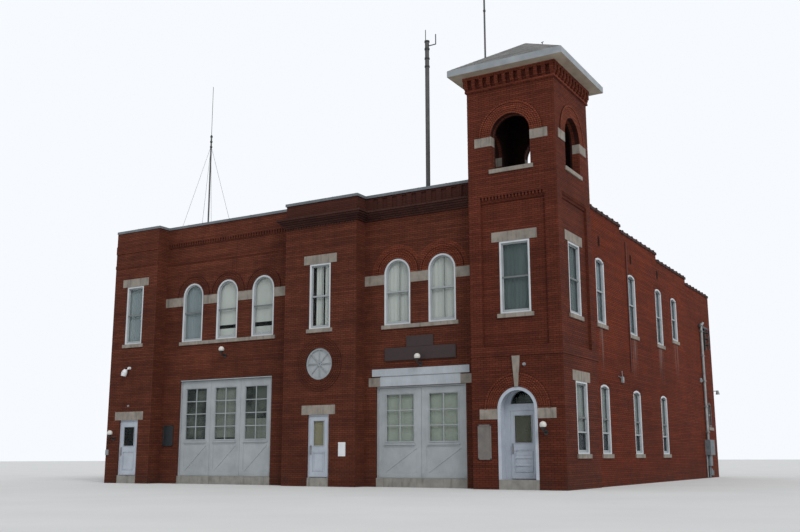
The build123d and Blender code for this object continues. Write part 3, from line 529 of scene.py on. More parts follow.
# Stone trim: limestone lintels, sills, bands and impost blocks, sawn and weathered, with dark
# rain stains down their faces.
def stone_finish(name, low, high):
    block = Finish(name, roughness=0.85)
    cloud = block.noise(3.2, 5)
    grain = block.noise(70, 4)
    drip = block.noise(9, 4, (1, 1, 0.15))
    body = (cloud * 0.75 + grain * 0.25).tones(low, high, end=0.68)
    body = block.mix(drip.over(0.5, 0.72) * 0.5, body, tone(82, 76, 67))
    block.coat(body, 0.75 + grain * 0.2)
    block.bump(cloud * 0.3 + grain * 0.7, 0.003)
    return block.material


limestone = stone_finish("weathered_limestone", (116, 109, 100), (152, 144, 134))
concrete = stone_finish("trowelled_concrete", (118, 115, 110), (148, 145, 138))
dress(limestone, "lintels", "sills", "stone_bands", "impost_stones")
dress(concrete, "ground_floor", "upper_floor", "tower_floors", "thresholds")


# Corbelled cornice over the central bay and the right garage wall: brick courses that step
# out, painted a darker brown.
dress(brick_finish("cornice_brick_paint", (66, 42, 38), (94, 61, 54)), "cornice")


# Copings and roofs: grey sheet metal on the front parapet, dark glazed tiles on the sides,
# gravelled felt behind the parapets and asphalt shingles on the tower.
sheet_metal = Finish("grey_coping_metal", roughness=0.5)
soot = sheet_metal.noise(2.2, 5)
sheet_grain = soot * 0.8 + sheet_metal.noise(30, 3) * 0.2
sheet_metal.coat(sheet_grain.tones((82, 88, 92), (112, 118, 122)), 0.45 + soot * 0.25)
sheet_metal.bump(soot, 0.004)
dress(sheet_metal.material, "front_coping")

glazed_tile = Finish("dark_coping_tile", roughness=0.75)
soot = glazed_tile.noise(4.5, 5)
glazed_tile.shader.inputs["Specular IOR Level"].default_value = 0.15
glazed_tile.coat(soot.tones((42, 31, 30), (74, 54, 50)), 0.6 + soot * 0.3)
glazed_tile.bump(soot, 0.004)
dress(glazed_tile.material, "side_copings", "back_coping")


def bar(shape, plane, u0, u1, z0, z1, out, thick, edge=0.004):
    """A board or bar on a wall, its face `out` before the wall's, with its arrises taken off."""
    place = on_wall(plane, (u0 + u1) / 2, out - thick / 2, (z0 + z1) / 2)
    size = (u1 - u0, thick) if plane[0] == "y" else (thick, u1 - u0)
    matrix = Matrix.Translation(place) @ Matrix.Diagonal((*size, z1 - z0, 1))
    verts = bmesh.ops.create_cube(shape, size=1, matrix=matrix)["verts"]
    edges = list({line for vert in verts for line in vert.link_edges})
    bmesh.ops.bevel(shape, geom=edges, offset=edge, affect="EDGES", segments=1, profile=0.5, material=-1)


collar_pitch, seam_pitch = 0.6, 1.2
coping_edge = ("x", x_hall + 0.04, 1)
collars = bmesh.new()
for start, end, top in hall_steps:
    for step in range(math.floor((end - start) / collar_pitch)):
        middle = start + (step + 0.5) * collar_pitch
        bar(collars, coping_edge, middle - 0.06, middle + 0.06, top - 0.02, top + 0.135, 0.02, 0.44, 0.014)
add_piece("side_coping_collars", collars, glazed_tile.material)
seams = bmesh.new()
for start, end, front in (
    (x_left, bay_edge, y_front), (bay_edge, central_left, y_recess),
    (central_left, central_right, y_front), (central_right, tower_left, y_recess),
):
    lengths = math.ceil((end - start) / seam_pitch)
    for step in range(1, lengths):
        middle = start + step * (end - start) / lengths
        lip = ("y", front - 0.04, -1)
        bar(seams, lip, middle - 0.015, middle + 0.015, parapet, 10.378, 0.004, 0.4, 0.003)
add_piece("front_coping_seams", seams, sheet_metal.material)

felt = Finish("gravelled_felt", roughness=0.95)
grit = felt.noise(45, 4)
felt.coat((grit * 0.6 + felt.noise(0.6, 4) * 0.4).tones((92, 90, 86), (150, 147, 140)))
felt.bump(grit, 0.008)
dress(felt.material, "roof_deck")

shingle = Finish("grey_shingles", roughness=0.9)
x, y, z = shingle.split()
tabs = shingle.node("TexBrick", {}, {
    "Vector": shingle.join(x + (y - x) * shingle.facing(0, 0.2, 0.3), z),
    "Color1": (0.75, 0.75, 0.75), "Color2": (1.15, 1.15, 1.15), "Mortar": (0.3, 0.3, 0.3),
    "Scale": 1.0, "Mortar Size": 0.004, "Brick Width": 0.3, "Row Height": 0.0785,
})
grit = shingle.noise(80, 3)
slate_grey = (grit * 0.5 + shingle.noise(1.5, 4) * 0.5).tones((106, 106, 104), (144, 143, 140))
shingle.coat(shingle.mix(1.0, slate_grey, tabs, "MULTIPLY"))
shingle.bump(grit, 0.003)
dress(shingle.material, "tower_roof")
roof_foot, roof_half, roof_rise, shingle_rows = 14.01, 2.075, 1.37, 18
roof_courses = bmesh.new()
for step in range(shingle_rows):
    low, high = step / shingle_rows, (step + 1) / shingle_rows
    low_half = min(roof_half * (1 - low) + 0.012, roof_half - 0.001)
    high_half = roof_half * (1 - high) + 0.003
    place = Matrix.Translation((tower_mid, flank_mid, roof_foot + roof_rise * (low + high) / 2))
    bmesh.ops.create_cone(
        roof_courses, cap_ends=True, segments=4, depth=roof_rise / shingle_rows,
        radius1=low_half * math.sqrt(2), radius2=high_half * math.sqrt(2),
        matrix=place @ Matrix.Rotation(math.pi / 4, 4, "Z"),
    )
add_piece("shingle_courses", roof_courses, shingle.material)


# White joinery: sashes, garage doors, door frames and the tower's boxed eaves, in gloss paint
# that has dulled, with a little dirt in streaks and in the grain. The white of the sashes and
# garage doors is toned down to grey as painted shade, and the doors' white is a lighter copy as
# painted light.
def paint_finish(name, low, high, roughness):
    paint = Finish(name, roughness=roughness)
    cloud = paint.noise(1.8, 4)
    grain = paint.noise(40, 3, (1, 1, 0.08))
    body = (cloud * 0.7 + grain * 0.3).tones(low, high)
    grime = paint.noise(6, 4, (1, 1, 0.2)).over(0.55, 0.75)
    body = paint.mix(grime * 0.12, body, tone(122, 122, 118))
    paint.coat(body, roughness + cloud * 0.15)
    paint.bump(grain, 0.0012)
    return paint.material


# This white is toned down to grey for the shade on the joinery: painted shade.
shaded_white_paint = paint_finish("white_gloss_paint_in_shade", (141, 147, 150), (166, 171, 174), 0.45)
eaves = Finish("eaves_paint", roughness=0.55)
weathered = eaves.noise(2.4, 4) * 0.7 + eaves.noise(30, 3) * 0.3
soffit_tone = weathered.tones((150, 138, 120), (186, 174, 156))
fascia_tone = weathered.tones((128, 134, 138), (158, 164, 168))
eaves.coat(eaves.mix(eaves.facing(2, 0.6, 0.4), soffit_tone, fascia_tone), 0.5 + weathered * 0.2)
eaves.bump(weathered, 0.002)
# The doors' white is a lighter, bluer copy, which offsets the shade in the doorways: painted light.
lit_door_paint = paint_finish("lit_white_door_paint", (157, 165, 176), (182, 189, 199), 0.4)
dress(shaded_white_paint, "window_frames", "garage_doors", "garage_frames")
dress(paint_finish("white_board_paint", (152, 159, 165), (178, 184, 190), 0.5), "garage_boards")
dress(lit_door_paint, "door_frames", "left_door_leaf", "central_door_leaf", "tower_door_leaf")
dress(eaves.material, "tower_eaves")


# Sash windows: a casing that fills the brick reveal, sashes of planed timber before the glass,
# and thin bars where the upper windows of the middle and right bays have two panes across.
def bent_bar(shape, plane, u, z, radius, width, out, thick, start=0, end=180, steps=20):
    """A bar bent to an arch: its section spun about the arch's middle."""
    first, inner, back = math.radians(start), radius - width, out - thick
    corners = [
        on_wall(plane, u + reach * math.cos(first), face, z + reach * math.sin(first))
        for reach, face in ((inner, out), (radius, out), (radius, back), (inner, back))
    ]
    section = shape.faces.new([shape.verts.new(corner) for corner in corners])
    axis = (0, -1, 0) if plane[0] == "y" else (1, 0, 0)
    bmesh.ops.spin(
        shape, geom=[section, *section.edges, *section.verts], cent=on_wall(plane, u, 0, z), axis=axis,
        angle=math.radians(end - start), steps=steps, use_merge=False,
    )


def rail(shape, window, inset, low, high, out, thick, edge=0.004):
    """A bar across a window, `inset` from its sides."""
    plane, u, wide = window[:3]
    bar(shape, plane, u - wide / 2 + inset, u + wide / 2 - inset, low, high, out, thick, edge)


def part_way(window, share):
    """The level a share of the way up a window."""
    foot, spring, rise = window[3:]
    return foot + (spring + rise - foot) * share


def window_ring(shape, window, inset, width, out, thick, foot_rail):
    """Jambs, head and foot rail round a window, `inset` inside its opening."""
    plane, u, wide, foot, spring, rise = window
    half = wide / 2 - inset
    low = foot + inset
    bar(shape, plane, u - half, u - half + width, low, spring, out, thick)
    bar(shape, plane, u + half - width, u + half, low, spring, out, thick)
    rail(shape, window, inset + width, low, low + foot_rail, out, thick)
    if rise == 0:
        rail(shape, window, inset + width, spring - inset - width, spring - inset, out, thick)
    elif rise > 0.3:
        bent_bar(shape, plane, u, spring, half, width, out, thick)
    else:
        crown = spring + rise - inset
        drop = crown - spring
        curve = (half**2 + drop**2) / (2 * drop)
        lean = math.degrees(math.asin(half / curve))
        bent_bar(shape, plane, u, crown - curve, curve, width, out, thick, 90 - lean, 90 + lean, 8)


back_windows = [
    (("y", y_back, 1), 0.05 + step * 3.75, plain_wide, low, high, 0.1)
    for step in range(-2, 3)
    for low, high in ((upper_sill, 7.8), (lower_sill, 3.34))
]
all_windows = [
    left_bay_window, central_window, tower_window, flank_window, flank_low_window,
    *left_trio, *right_pair, *hall_windows, *back_windows,
]
casings, sashes = bmesh.new(), bmesh.new()
for window in all_windows:
    if window != back_corner_window:
        window_ring(casings, window, 0.0, 0.062, 0.002, 0.052, 0.05)
    window_ring(sashes, window, 0.06, 0.045, -0.072, 0.022, 0.07)
for shape in (casings, sashes):
    bmesh.ops.recalc_face_normals(shape, faces=shape.faces)
# The casings are a lighter copy of the white paint, for the light from the sky on them: painted light.
sky_lit_casing_paint = paint_finish("sky_lit_white_casing_paint", (178, 184, 188), (206, 210, 213), 0.45)
add_piece("window_casings", casings, sky_lit_casing_paint)
end_frame = bmesh.new()
window_ring(end_frame, back_corner_window, 0.0, 0.11, -0.004, 0.06, 0.11)
bmesh.ops.recalc_face_normals(end_frame, faces=end_frame.faces)
end_paint = paint_finish("faded_end_paint", (70, 54, 50), (92, 74, 70), 0.6)
add_piece("end_window_frame", end_frame, end_paint)
add_piece("window_sashes", sashes, shaded_white_paint)
# The bars are painted a shaded grey, darker than the white sashes, and the grey bars over the meeting rails
# of the other upper windows stand for the shade at those rails: painted shade.
bar_shade_paint = paint_finish("shaded_bar_paint", (92, 96, 96), (116, 120, 120), 0.5)
window_bars = bmesh.new()
for window in [*right_pair, central_window]:
    plane, u, wide, foot, spring, rise = window
    bar(window_bars, plane, u + 0.05, u + 0.075, foot + 0.13, spring + rise - 0.11, -0.078, 0.016, 0.002)
    middle = part_way(window, 0.5)
    rail(window_bars, window, 0.1, middle - 0.045, middle - 0.03, -0.046, 0.012, 0.002)
for window in [*left_trio, tower_window, flank_window, left_bay_window]:
    middle = part_way(window, 0.5)
    rail(window_bars, window, 0.04, middle - 0.026, middle + 0.026, -0.04, 0.012, 0.002)
add_piece("window_bars", window_bars, bar_shade_paint)

# Side windows on the ground floor: shallow screens before the middle rails, painted a grey that
# stands for the shade at the rails (painted shade), and white rails where the shades end.
screens, low_rails = bmesh.new(), bmesh.new()
for window in [*hall_low, flank_low_window]:
    middle, shade_foot = part_way(window, 0.5), part_way(window, 0.3)
    rail(screens, window, 0.1, middle - 0.027, middle + 0.027, -0.04, 0.012, 0.002)
    rail(low_rails, window, 0.06, shade_foot - 0.025, shade_foot + 0.025, -0.045, 0.04)
screen_shade_paint = paint_finish("shaded_screen_paint", (96, 99, 99), (112, 115, 115), 0.6)
add_piece("side_window_screens", screens, screen_shade_paint)
add_piece("side_window_rails", low_rails, shaded_white_paint)


# Joinery round the doors: the tower doorway's casing, the seams between the boards over the right
# garage doors, mouldings and bottom rails on the garage leaves, and the round window's spokes.
def beads(shape, plane, u0, u1, z0, z1, wide, out, thick, edge=0.004):
    """Four bars just inside a rectangle, the foot and the head between the uprights."""
    for u in (u0, u1 - wide):
        bar(shape, plane, u, u + wide, z0, z1, out, thick, edge)
    for z in (z0, z1 - wide):
        bar(shape, plane, u0 + wide, u1 - wide, z, z + wide, out, thick, edge)


casing = bmesh.new()
casing_wide = 0.105
for start in (tower_mid - door_radius, tower_mid + door_radius - casing_wide):
    bar(casing, street, start, start + casing_wide, 0.3, door_spring, 0.006, 0.03)
bent_bar(casing, street, tower_mid, door_spring, door_radius, casing_wide, 0.006, 0.03, steps=28)
bmesh.ops.recalc_face_normals(casing, faces=casing.faces)
add_piece("tower_door_casing", casing, lit_door_paint)

# A set of leaves is its middle, its opening, how many leaves, and its panes' width, foot and head.
mouldings = bmesh.new()
leaf_sets = (
    (left_garage_mid, 4.59, 3, 1.03, 1.69, 3.65),
    (right_garage_mid, 3.5, 2, 1.07, 1.53, 3.11),
)
leaf_out = -0.1
for middle, opening, count, pane_width, pane_low, pane_high in leaf_sets:
    pitch, half = (opening - 0.1) / count, pane_width / 2 + 0.045
    low, high = pane_low - 0.045, pane_high + 0.045
    for step in range(count):
        u = middle + (step - (count - 1) / 2) * pitch
        beads(mouldings, recess, u - half, u + half, low, high, 0.025, leaf_out + 0.014, 0.014)
        for reach, foot, head, proud in (
            (half + 0.025, pane_low - 0.13, pane_low - 0.09, 0.03), (pitch / 2 - 0.03, 0.31, 0.45, 0.008),
        ):
            bar(mouldings, recess, u - reach, u + reach, foot, head, leaf_out + proud, proud)
for middle, reach, low, high, out, thick in (
    (right_garage_mid, 1.55, 3.722, 3.77, 0.012, 0.02),
    (right_garage_mid, 1.74, 3.385, 3.425, -0.04, 0.03),
    (left_garage_mid, 2.28, 3.965, 4.005, -0.01, 0.06),
):
    bar(mouldings, recess, middle - reach, middle + reach, low, high, out, thick)
add_piece("garage_mouldings", mouldings, shaded_white_paint)

spoke_paint = paint_finish("faded_spoke_paint", (118, 124, 116), (140, 145, 136), 0.5)
spokes = bmesh.new()
spoke_place = Matrix.Translation((central_mid, -10.467, round_level))
spoke_size = Matrix.Diagonal((0.94, 0.006, 0.008, 1))
for step in range(4):
    turn = Matrix.Rotation(math.radians(45 * step), 4, "Y")
    bmesh.ops.create_cube(spokes, size=1, matrix=spoke_place @ turn @ spoke_size)
add_piece("round_window_spokes", spokes, spoke_paint)


# Glass: clear float glass, a little green, that mirrors the bright sky; old panes are slightly
# uneven.
glass = Finish("window_glass", roughness=0.04)
clear = glass.tree.nodes.new("ShaderNodeBsdfTransparent")
clear.inputs[0].default_value = (0.93, 0.945, 0.935, 1)
slant = glass.node("LayerWeight", {}, {"Blend": 0.5}, "Facing")
mirror_share = slant * slant * slant * slant * 0.12 + 0.07
glass.coat(glass.noise(0.8, 2).tones((70, 80, 82), (84, 94, 96)))
mixed = glass.tree.nodes.new("ShaderNodeMixShader")
glass.feed(mixed.inputs[0], mirror_share)
glass.tree.links.new(clear.outputs[0], mixed.inputs[1])
glass.tree.links.new(glass.shader.outputs[0], mixed.inputs[2])
glass.tree.links.new(mixed.outputs[0], glass.tree.nodes["Material Output"].inputs[0])
glass.bump(glass.noise(1.6, 2), 0.004)
dress(
    glass.material,
    "window_glass", "garage_glass", "left_door_glass", "central_door_glass", "tower_door_glass",
)


# Blinds and curtains: woven cloth, hung in folds behind the upper sashes and drawn down as flat
# roller blinds behind the side windows and the garage doors.
def cloth_finish(name, low, high):
    cloth = Finish(name, roughness=0.9)
    weave = cloth.noise(90, 2, (1, 1, 0.3))
    fold = cloth.noise(2.2, 3, (1, 1, 0.05))
    cloth.coat((weave * 0.3 + fold * 0.7).tones(low, high))
    cloth.bump(weave, 0.001)
    return cloth.material


def curtain(shape, plane, u0, u1, z0, z1, out, deep, folds):
    """A sheet that hangs in upright folds."""
    turn = Matrix.Rotation(math.radians(90), 4, "X")
    if plane[0] == "x":
        turn = Matrix.Rotation(math.radians(90), 4, "Z") @ turn
    place = on_wall(plane, (u0 + u1) / 2, out, (z0 + z1) / 2)
    size = Matrix.Diagonal((u1 - u0, z1 - z0, 1, 1))
    sheet = bmesh.ops.create_grid(
        shape, x_segments=folds * 8, y_segments=1, size=0.5, matrix=Matrix.Translation(place) @ turn @ size,
    )["verts"]
    for vert in sheet:
        u = vert.co.x if plane[0] == "y" else vert.co.y
        swing = math.sin((u - u0) / (u1 - u0) * folds * 2 * math.pi) + 0.4 * math.sin(u * 23)
        vert.co += on_wall(plane, u, deep * swing, 0) - on_wall(plane, u, 0, 0)


pale_cloth = cloth_finish("pale_curtain_cloth", (206, 208, 205), (228, 229, 226))
grey_cloth = cloth_finish("grey_curtain_cloth", (138, 150, 157), (168, 178, 183))
# The tower's curtains are a darker copy of the curtain cloth, for the shade inside the tower: painted shade.
shaded_tower_cloth = cloth_finish("shaded_tower_curtain_cloth", (74, 87, 90), (104, 115, 118))
garage_cloth = cloth_finish("garage_blind_cloth", (160, 167, 157), (190, 195, 185))
shaded_cloth = cloth_finish("shaded_garage_cloth", (104, 109, 100), (150, 154, 146))
# A dark sheet stands for the shade inside the hall behind the left garage doors and the fanlight: painted
# shade.
gloom = Finish("shaded_hall_sheet", roughness=0.9)
gloom.coat(gloom.noise(1.3, 3).tones((30, 36, 31), (96, 102, 94), 0.38, 0.62))
tan_cloth = cloth_finish("tan_blind_cloth", (138, 130, 104), (162, 153, 126))
# The tower door's blind is olive and darker than the central door's tan: partly its own colour, partly
# painted shade.
olive_shaded_cloth = cloth_finish("olive_shaded_blind_cloth", (84, 84, 68), (106, 104, 88))
cloth_out = -0.15
for name, finish, windows in (
    ("pale_curtains", pale_cloth, right_pair),
    ("grey_curtains", grey_cloth, [left_bay_window, left_trio[0]]),
    ("tower_curtains", shaded_tower_cloth, [tower_window, flank_window]),
):
    hung = bmesh.new()
    for plane, u, wide, foot, spring, rise in windows:
        half = wide / 2 - 0.02
        curtain(hung, plane, u - half, u + half, foot + 0.02, spring + rise, cloth_out, 0.004, 7)
    add_piece(name, hung, finish, smooth=True)
central_drapes = bmesh.new()
for start, end in ((-0.25, 0.06), (0.13, 0.42)):
    curtain(central_drapes, street, central_mid + start, central_mid + end, 5.56, 7.93, cloth_out, 0.008, 3)
add_piece("central_window_drapes", central_drapes, pale_cloth, smooth=True)
blinds = bmesh.new()
for window, low_drawn, high_drawn in (
    (left_trio[1], 0.24, 1.0), (left_trio[1], 0.03, 0.18),
    (left_trio[2], 0.24, 1.0), (left_trio[2], 0.03, 0.17),
    *[(window, 0.3, 1.0) for window in back_windows],
):
    low, high = part_way(window, low_drawn), part_way(window, high_drawn)
    rail(blinds, window, 0.02, low, high, cloth_out, 0.004, 0.001)
    rail(blinds, window, 0.02, low, low + 0.03, cloth_out + 0.006, 0.014, 0.003)
add_piece("window_blinds", blinds, pale_cloth)
side_cloth = cloth_finish("side_shade_cloth", (136, 140, 140), (160, 164, 164))
# The upper sashes' cloth is lighter and bluer as a painted reflection of the sky, and the lower sashes' cloth
# is a darker copy as painted shade.
sky_reflection_cloth = cloth_finish("upper_side_sky_reflection_cloth", (128, 141, 152), (160, 173, 184))
lower_sash_shade_cloth = cloth_finish("lower_sash_shaded_cloth", (92, 102, 110), (118, 128, 136))
# Near-black sheets stand for the shade inside the rooms, at the foot of the ground-floor side windows and
# behind the back corner window: painted shade.
room_shade_cloth = cloth_finish("unlit_side_shade_sheet", (28, 32, 40), (44, 49, 58))
for name, finish, windows, low_drawn, high_drawn in (
    ("side_shades", side_cloth, [flank_low_window, *hall_low], 0.29, 1.0),
    ("upper_side_shades", sky_reflection_cloth, [*hall_high, hall_end], 0.5, 1.0),
    ("upper_side_sheets", lower_sash_shade_cloth, [*hall_high, hall_end], 0.02, 0.49),
    ("unlit_side_sheets", room_shade_cloth, [flank_low_window, *hall_low], 0.02, 0.28),
    ("unlit_end_sheet", room_shade_cloth, [back_corner_window], 0.02, 1.0),
):
    shades = bmesh.new()
    for window in windows:
        low, high = part_way(window, low_drawn), part_way(window, high_drawn)
        rail(shades, window, 0.02, low, high, cloth_out, 0.004, 0.001)
    add_piece(name, shades, finish)
first_leaf, last_leaf = left_garage_mid - 1.5, left_garage_mid + 1.5
for name, finish, sheets in (
    ("right_garage_blinds", garage_cloth, [(right_garage_mid + side, 1.45, 3.2) for side in (-0.84, 0.84)]),
    ("left_garage_blinds", shaded_cloth, [(left_garage_mid, 1.75, 3.72), (last_leaf, 1.6, 2.45)]),
    ("left_garage_sheets", gloom.material, [(first_leaf, 1.6, 3.72), (last_leaf, 2.45, 3.72)]),
):
    sheet = bmesh.new()
    for u, low, high in sheets:
        bar(sheet, recess, u - 0.57, u + 0.57, low, high, -0.2, 0.004, 0.001)
    add_piece(name, sheet, finish)
door_blind = bmesh.new()
bar(door_blind, street, central_mid - 0.24, central_mid + 0.24, 1.37, 2.29, -0.108, 0.004, 0.001)
add_piece("central_door_blind", door_blind, tan_cloth, "central_door")
tower_blind = bmesh.new()
bar(tower_blind, ("y", -10.024, -1), 7.98, 8.57, 1.43, 2.3, -0.004, 0.003, 0.001)
add_piece("tower_door_blind", tower_blind, olive_shaded_cloth, "tower_door")
fanlight_sheet = bmesh.new()
fanlight_foot, fanlight_half = 2.45, 0.5
rim = [
    (tower_mid + fanlight_half * math.cos(turn), -9.95, fanlight_foot + fanlight_half * math.sin(turn))
    for turn in (math.pi * step / 24 for step in range(25))
]
fanlight_sheet.faces.new([fanlight_sheet.verts.new(point) for point in rim])
add_piece("fanlight_sheet", fanlight_sheet, gloom.material)


# Small metal and lamps: black iron brackets, opal globes, weathered aerials, a conduit painted
# red, a grey meter box and bright door handles.
def metal_finish(name, low, high, roughness, metallic=0.0):
    metal = Finish(name, roughness, metallic)
    cloud = metal.noise(5, 4)
    grain = metal.noise(60, 3)
    metal.coat((cloud * 0.7 + grain * 0.3).tones(low, high), roughness + cloud * 0.2)
    metal.bump(grain, 0.0008)
    return metal.material


galvanised = metal_finish("galvanised_steel", (120, 122, 122), (158, 160, 160), 0.4, 0.4)
black_iron = metal_finish("black_painted_iron", (20, 20, 21), (40, 39, 38), 0.45)
bright_steel = metal_finish("brushed_steel", (120, 120, 122), (160, 160, 162), 0.3, 0.9)
meter_paint = metal_finish("grey_meter_paint", (84, 91, 95), (112, 118, 121), 0.5)
dress(meter_paint, "meter_box")
dress(metal_finish("weathered_aerial_steel", (62, 62, 61), (96, 95, 93), 0.6, 0.2), "aerials")
dress(black_iron, "lamp_brackets")
dress(metal_finish("red_painted_pipe", (62, 30, 28), (88, 44, 38), 0.6), "wall_conduit")
dress(metal_finish("opal_globe", (196, 193, 186), (218, 215, 208), 0.25), "lamp_globes")
dress(bright_steel, "left_door_handle", "central_door_handle", "tower_door_handle")


# Lamp castings: a cast iron cup with a rim under each globe, a stay that carries it and a round
# rose fixed to the wall.
def rod(shape, start, end, radius, end_radius=None, sides=16):
    """A round bar from one point to another; it tapers where it has an end radius."""
    start, end = Vector(start), Vector(end)
    along = end - start
    matrix = Matrix.Translation((start + end) / 2) @ along.to_track_quat("Z", "Y").to_matrix().to_4x4()
    bmesh.ops.create_cone(
        shape, cap_ends=True, segments=sides, radius1=radius, radius2=end_radius or radius,
        depth=along.length, matrix=matrix,
    )


def fittings(name, finish, bars=(), rods=()):
    """One piece of bars and rods, each given as what bar or rod takes after the shape."""
    shape = bmesh.new()
    for measures in bars:
        bar(shape, *measures)
    for measures in rods:
        rod(shape, *measures)
    add_piece(name, shape, finish)


castings = []
for x, y, z in ((-9.42, -10.75, 1.97), (-4.19, -10.19, 5.11), (4.505, -10.19, 4.36), (9.22, -10.75, 1.96)):
    wall, rose = y + 0.25, z - 0.235
    castings += [
        ((x, y, z - 0.15), (x, y, z - 0.07), 0.045, 0.085, 24),
        ((x, y, z - 0.075), (x, y, z - 0.06), 0.09, None, 24),
        ((x, y, z - 0.19), (x, wall - 0.01, rose), 0.024),
        ((x, wall - 0.03, rose), (x, wall, rose), 0.07, None, 24),
    ]
fittings("lamp_castings", black_iron, rods=castings)


# Bare plates and notices: the name boards over the right garage doors, a dark plaque and a stone
# tablet on the walls, and a white notice, all without lettering.
def raised_rim(plane, u0, u1, z0, z1, wide, out, edge):
    """The bars of a rim on a plate."""
    sides = [(u0, u1, z, z + wide) for z in (z0, z1 - wide)]
    sides += [(u, u + wide, z0, z1) for u in (u0, u1 - wide)]
    return [(plane, *side, out, 0.02, edge) for side in sides]


notice_white = metal_finish("notice_enamel", (208, 211, 214), (224, 226, 228), 0.35)
fittings("sign_plates", metal_finish("dark_sign_paint", (38, 26, 27), (54, 37, 37), 0.6), [
    (recess, 3.08, 5.875, 4.28, 4.73, 0.05, 0.045, 0.006),
    (recess, 3.96, 5.01, 4.725, 5.11, 0.05, 0.045, 0.006),
    (recess, 3.1, 5.855, 4.3, 4.71, 0.054, 0.01, 0.003),
    (recess, 3.98, 4.99, 4.745, 5.09, 0.054, 0.01, 0.003),
])
fittings("dark_plaque", metal_finish("dark_plaque_bronze", (18, 23, 26), (34, 40, 43), 0.4, 0.2), [
    (recess, -7.26, -6.74, 1.44, 2.25, 0.035, 0.03, 0.008),
    *raised_rim(recess, -7.26, -6.74, 1.44, 2.25, 0.04, 0.045, 0.005),
])
fittings("stone_tablet", stone_finish("grey_tablet_stone", (98, 93, 90), (124, 118, 114)), [
    (street, 6.92, 7.35, 0.93, 1.99, 0.03, 0.028, 0.008),
    *raised_rim(street, 6.9, 7.37, 0.91, 2.01, 0.05, 0.038, 0.006),
])
fittings("white_notice", notice_white, [(street, 1.52, 1.82, 1.03, 1.51, 0.016, 0.012, 0.003)])

# Small lights and boxes on the walls: a floodlight and a door lamp on the left bay, a round
# light on the tower, a lamp at the back corner, and switch boxes.
grey_enamel = metal_finish("grey_enamel", (118, 122, 124), (146, 150, 152), 0.45)
fittings("wall_lights", notice_white, rods=[
    ((-8.73, -10.5, 4.56), (-8.73, -10.6, 4.56), 0.06, 0.05, 20),
    ((-8.73, -10.59, 4.56), (-8.86, -10.62, 4.44), 0.018),
    ((-8.84, -10.62, 4.5), (-8.88, -10.66, 4.38), 0.07, 0.12, 24),
    ((-8.88, -10.66, 4.38), (-8.9, -10.68, 4.24), 0.12, 0.1, 24),
])
fittings("small_wall_lights", grey_enamel, rods=[
    ((-8.71, -10.5, 3.04), (-8.71, -10.55, 3.04), 0.045, 0.03, 20),
    ((8.55, -10.5, 3.87), (8.55, -10.56, 3.87), 0.06, 0.04, 20),
    ((9.75, 10.3, 4.15), (10.0, 10.32, 4.15), 0.02),
    ((9.98, 10.32, 4.18), (9.98, 10.34, 3.98), 0.05, 0.1, 20),
])
fittings("wall_boxes", grey_enamel, [
    (street, -9.82, -9.68, 1.1, 1.32, 0.07, 0.066, 0.008),
    (hall_flank, -4.47, -4.33, 3.62, 3.84, 0.09, 0.086, 0.008),
    (hall_flank, 7.72, 7.86, 4.42, 4.62, 0.08, 0.076, 0.008),
    (hall_flank, -4.45, -4.35, 3.66, 3.8, 0.098, 0.01, 0.003),
    (hall_flank, 7.74, 7.84, 4.46, 4.58, 0.098, 0.01, 0.003),
], [
    ((9.79, -4.4, 3.8), (9.79, -4.4, 4.05), 0.014),
    ((9.79, -4.42, 3.78), (9.79, -4.85, 3.84), 0.01),
])

# Service entry near the back corner: a sleeve over the conduit with straps, a weather cap and a
# ground pipe, the bracket with its hoops, a lid on the meter box and small boxes at the wall's foot.
conduit_x, conduit_y = 9.82, 8.35
straps = [
    (hall_flank, conduit_y - 0.12, conduit_y + 0.12, level, level + 0.04, 0.15, 0.15, 0.006)
    for level in (2.1, 3.3, 4.5, 5.7, 6.9)
]
fittings("service_conduit", galvanised, straps, [
    ((conduit_x, conduit_y, 1.72), (conduit_x, conduit_y, 7.28), 0.068, None, 24),
    ((conduit_x + 0.01, conduit_y, 7.2), (conduit_x + 0.1, conduit_y + 0.1, 7.34), 0.085, 0.05, 20),
    ((9.79, 8.02, 0.02), (9.79, 8.02, 1.06), 0.03),
])
hoop_rods = []
for reach, level in ((0.21, 6.9), (0.17, 6.6), (0.19, 6.3)):
    hoop_rods.append(((9.8, 9.12, level), (9.98, 9.12, level), 0.035))
    turns = [math.tau * step / 12 for step in range(13)]
    hoop = [(9.9, 9.42 + reach * math.cos(turn), level + reach * math.sin(turn)) for turn in turns]
    hoop_rods += [(start, end, 0.02, None, 8) for start, end in zip(hoop, hoop[1:])]
fittings("service_entry_irons", black_iron, [
    (hall_flank, 9.05, 9.2, 6.05, 7.2, 0.08, 0.08, 0.006),
    (hall_flank, 8.0, 9.6, 7.1, 7.2, 0.1, 0.1, 0.006),
], hoop_rods)
meter_face = ("x", 10.0, 1)
fittings("meter_trim", meter_paint, [
    (meter_face, 7.97, 8.83, 1.07, 1.73, 0.008, 0.01, 0.004),
    (meter_face, 8.36, 8.44, 1.36, 1.44, 0.022, 0.02, 0.004),
    (hall_flank, 8.55, 8.8, 0.12, 0.42, 0.1, 0.1, 0.008),
    (hall_flank, 8.95, 9.1, 0.1, 0.34, 0.09, 0.09, 0.008),
    (hall_flank, 8.12, 8.62, 0.55, 1.045, 0.17, 0.17, 0.008),
], [((9.8, 8.67, 0.4), (9.8, 8.67, 1.06), 0.022)])

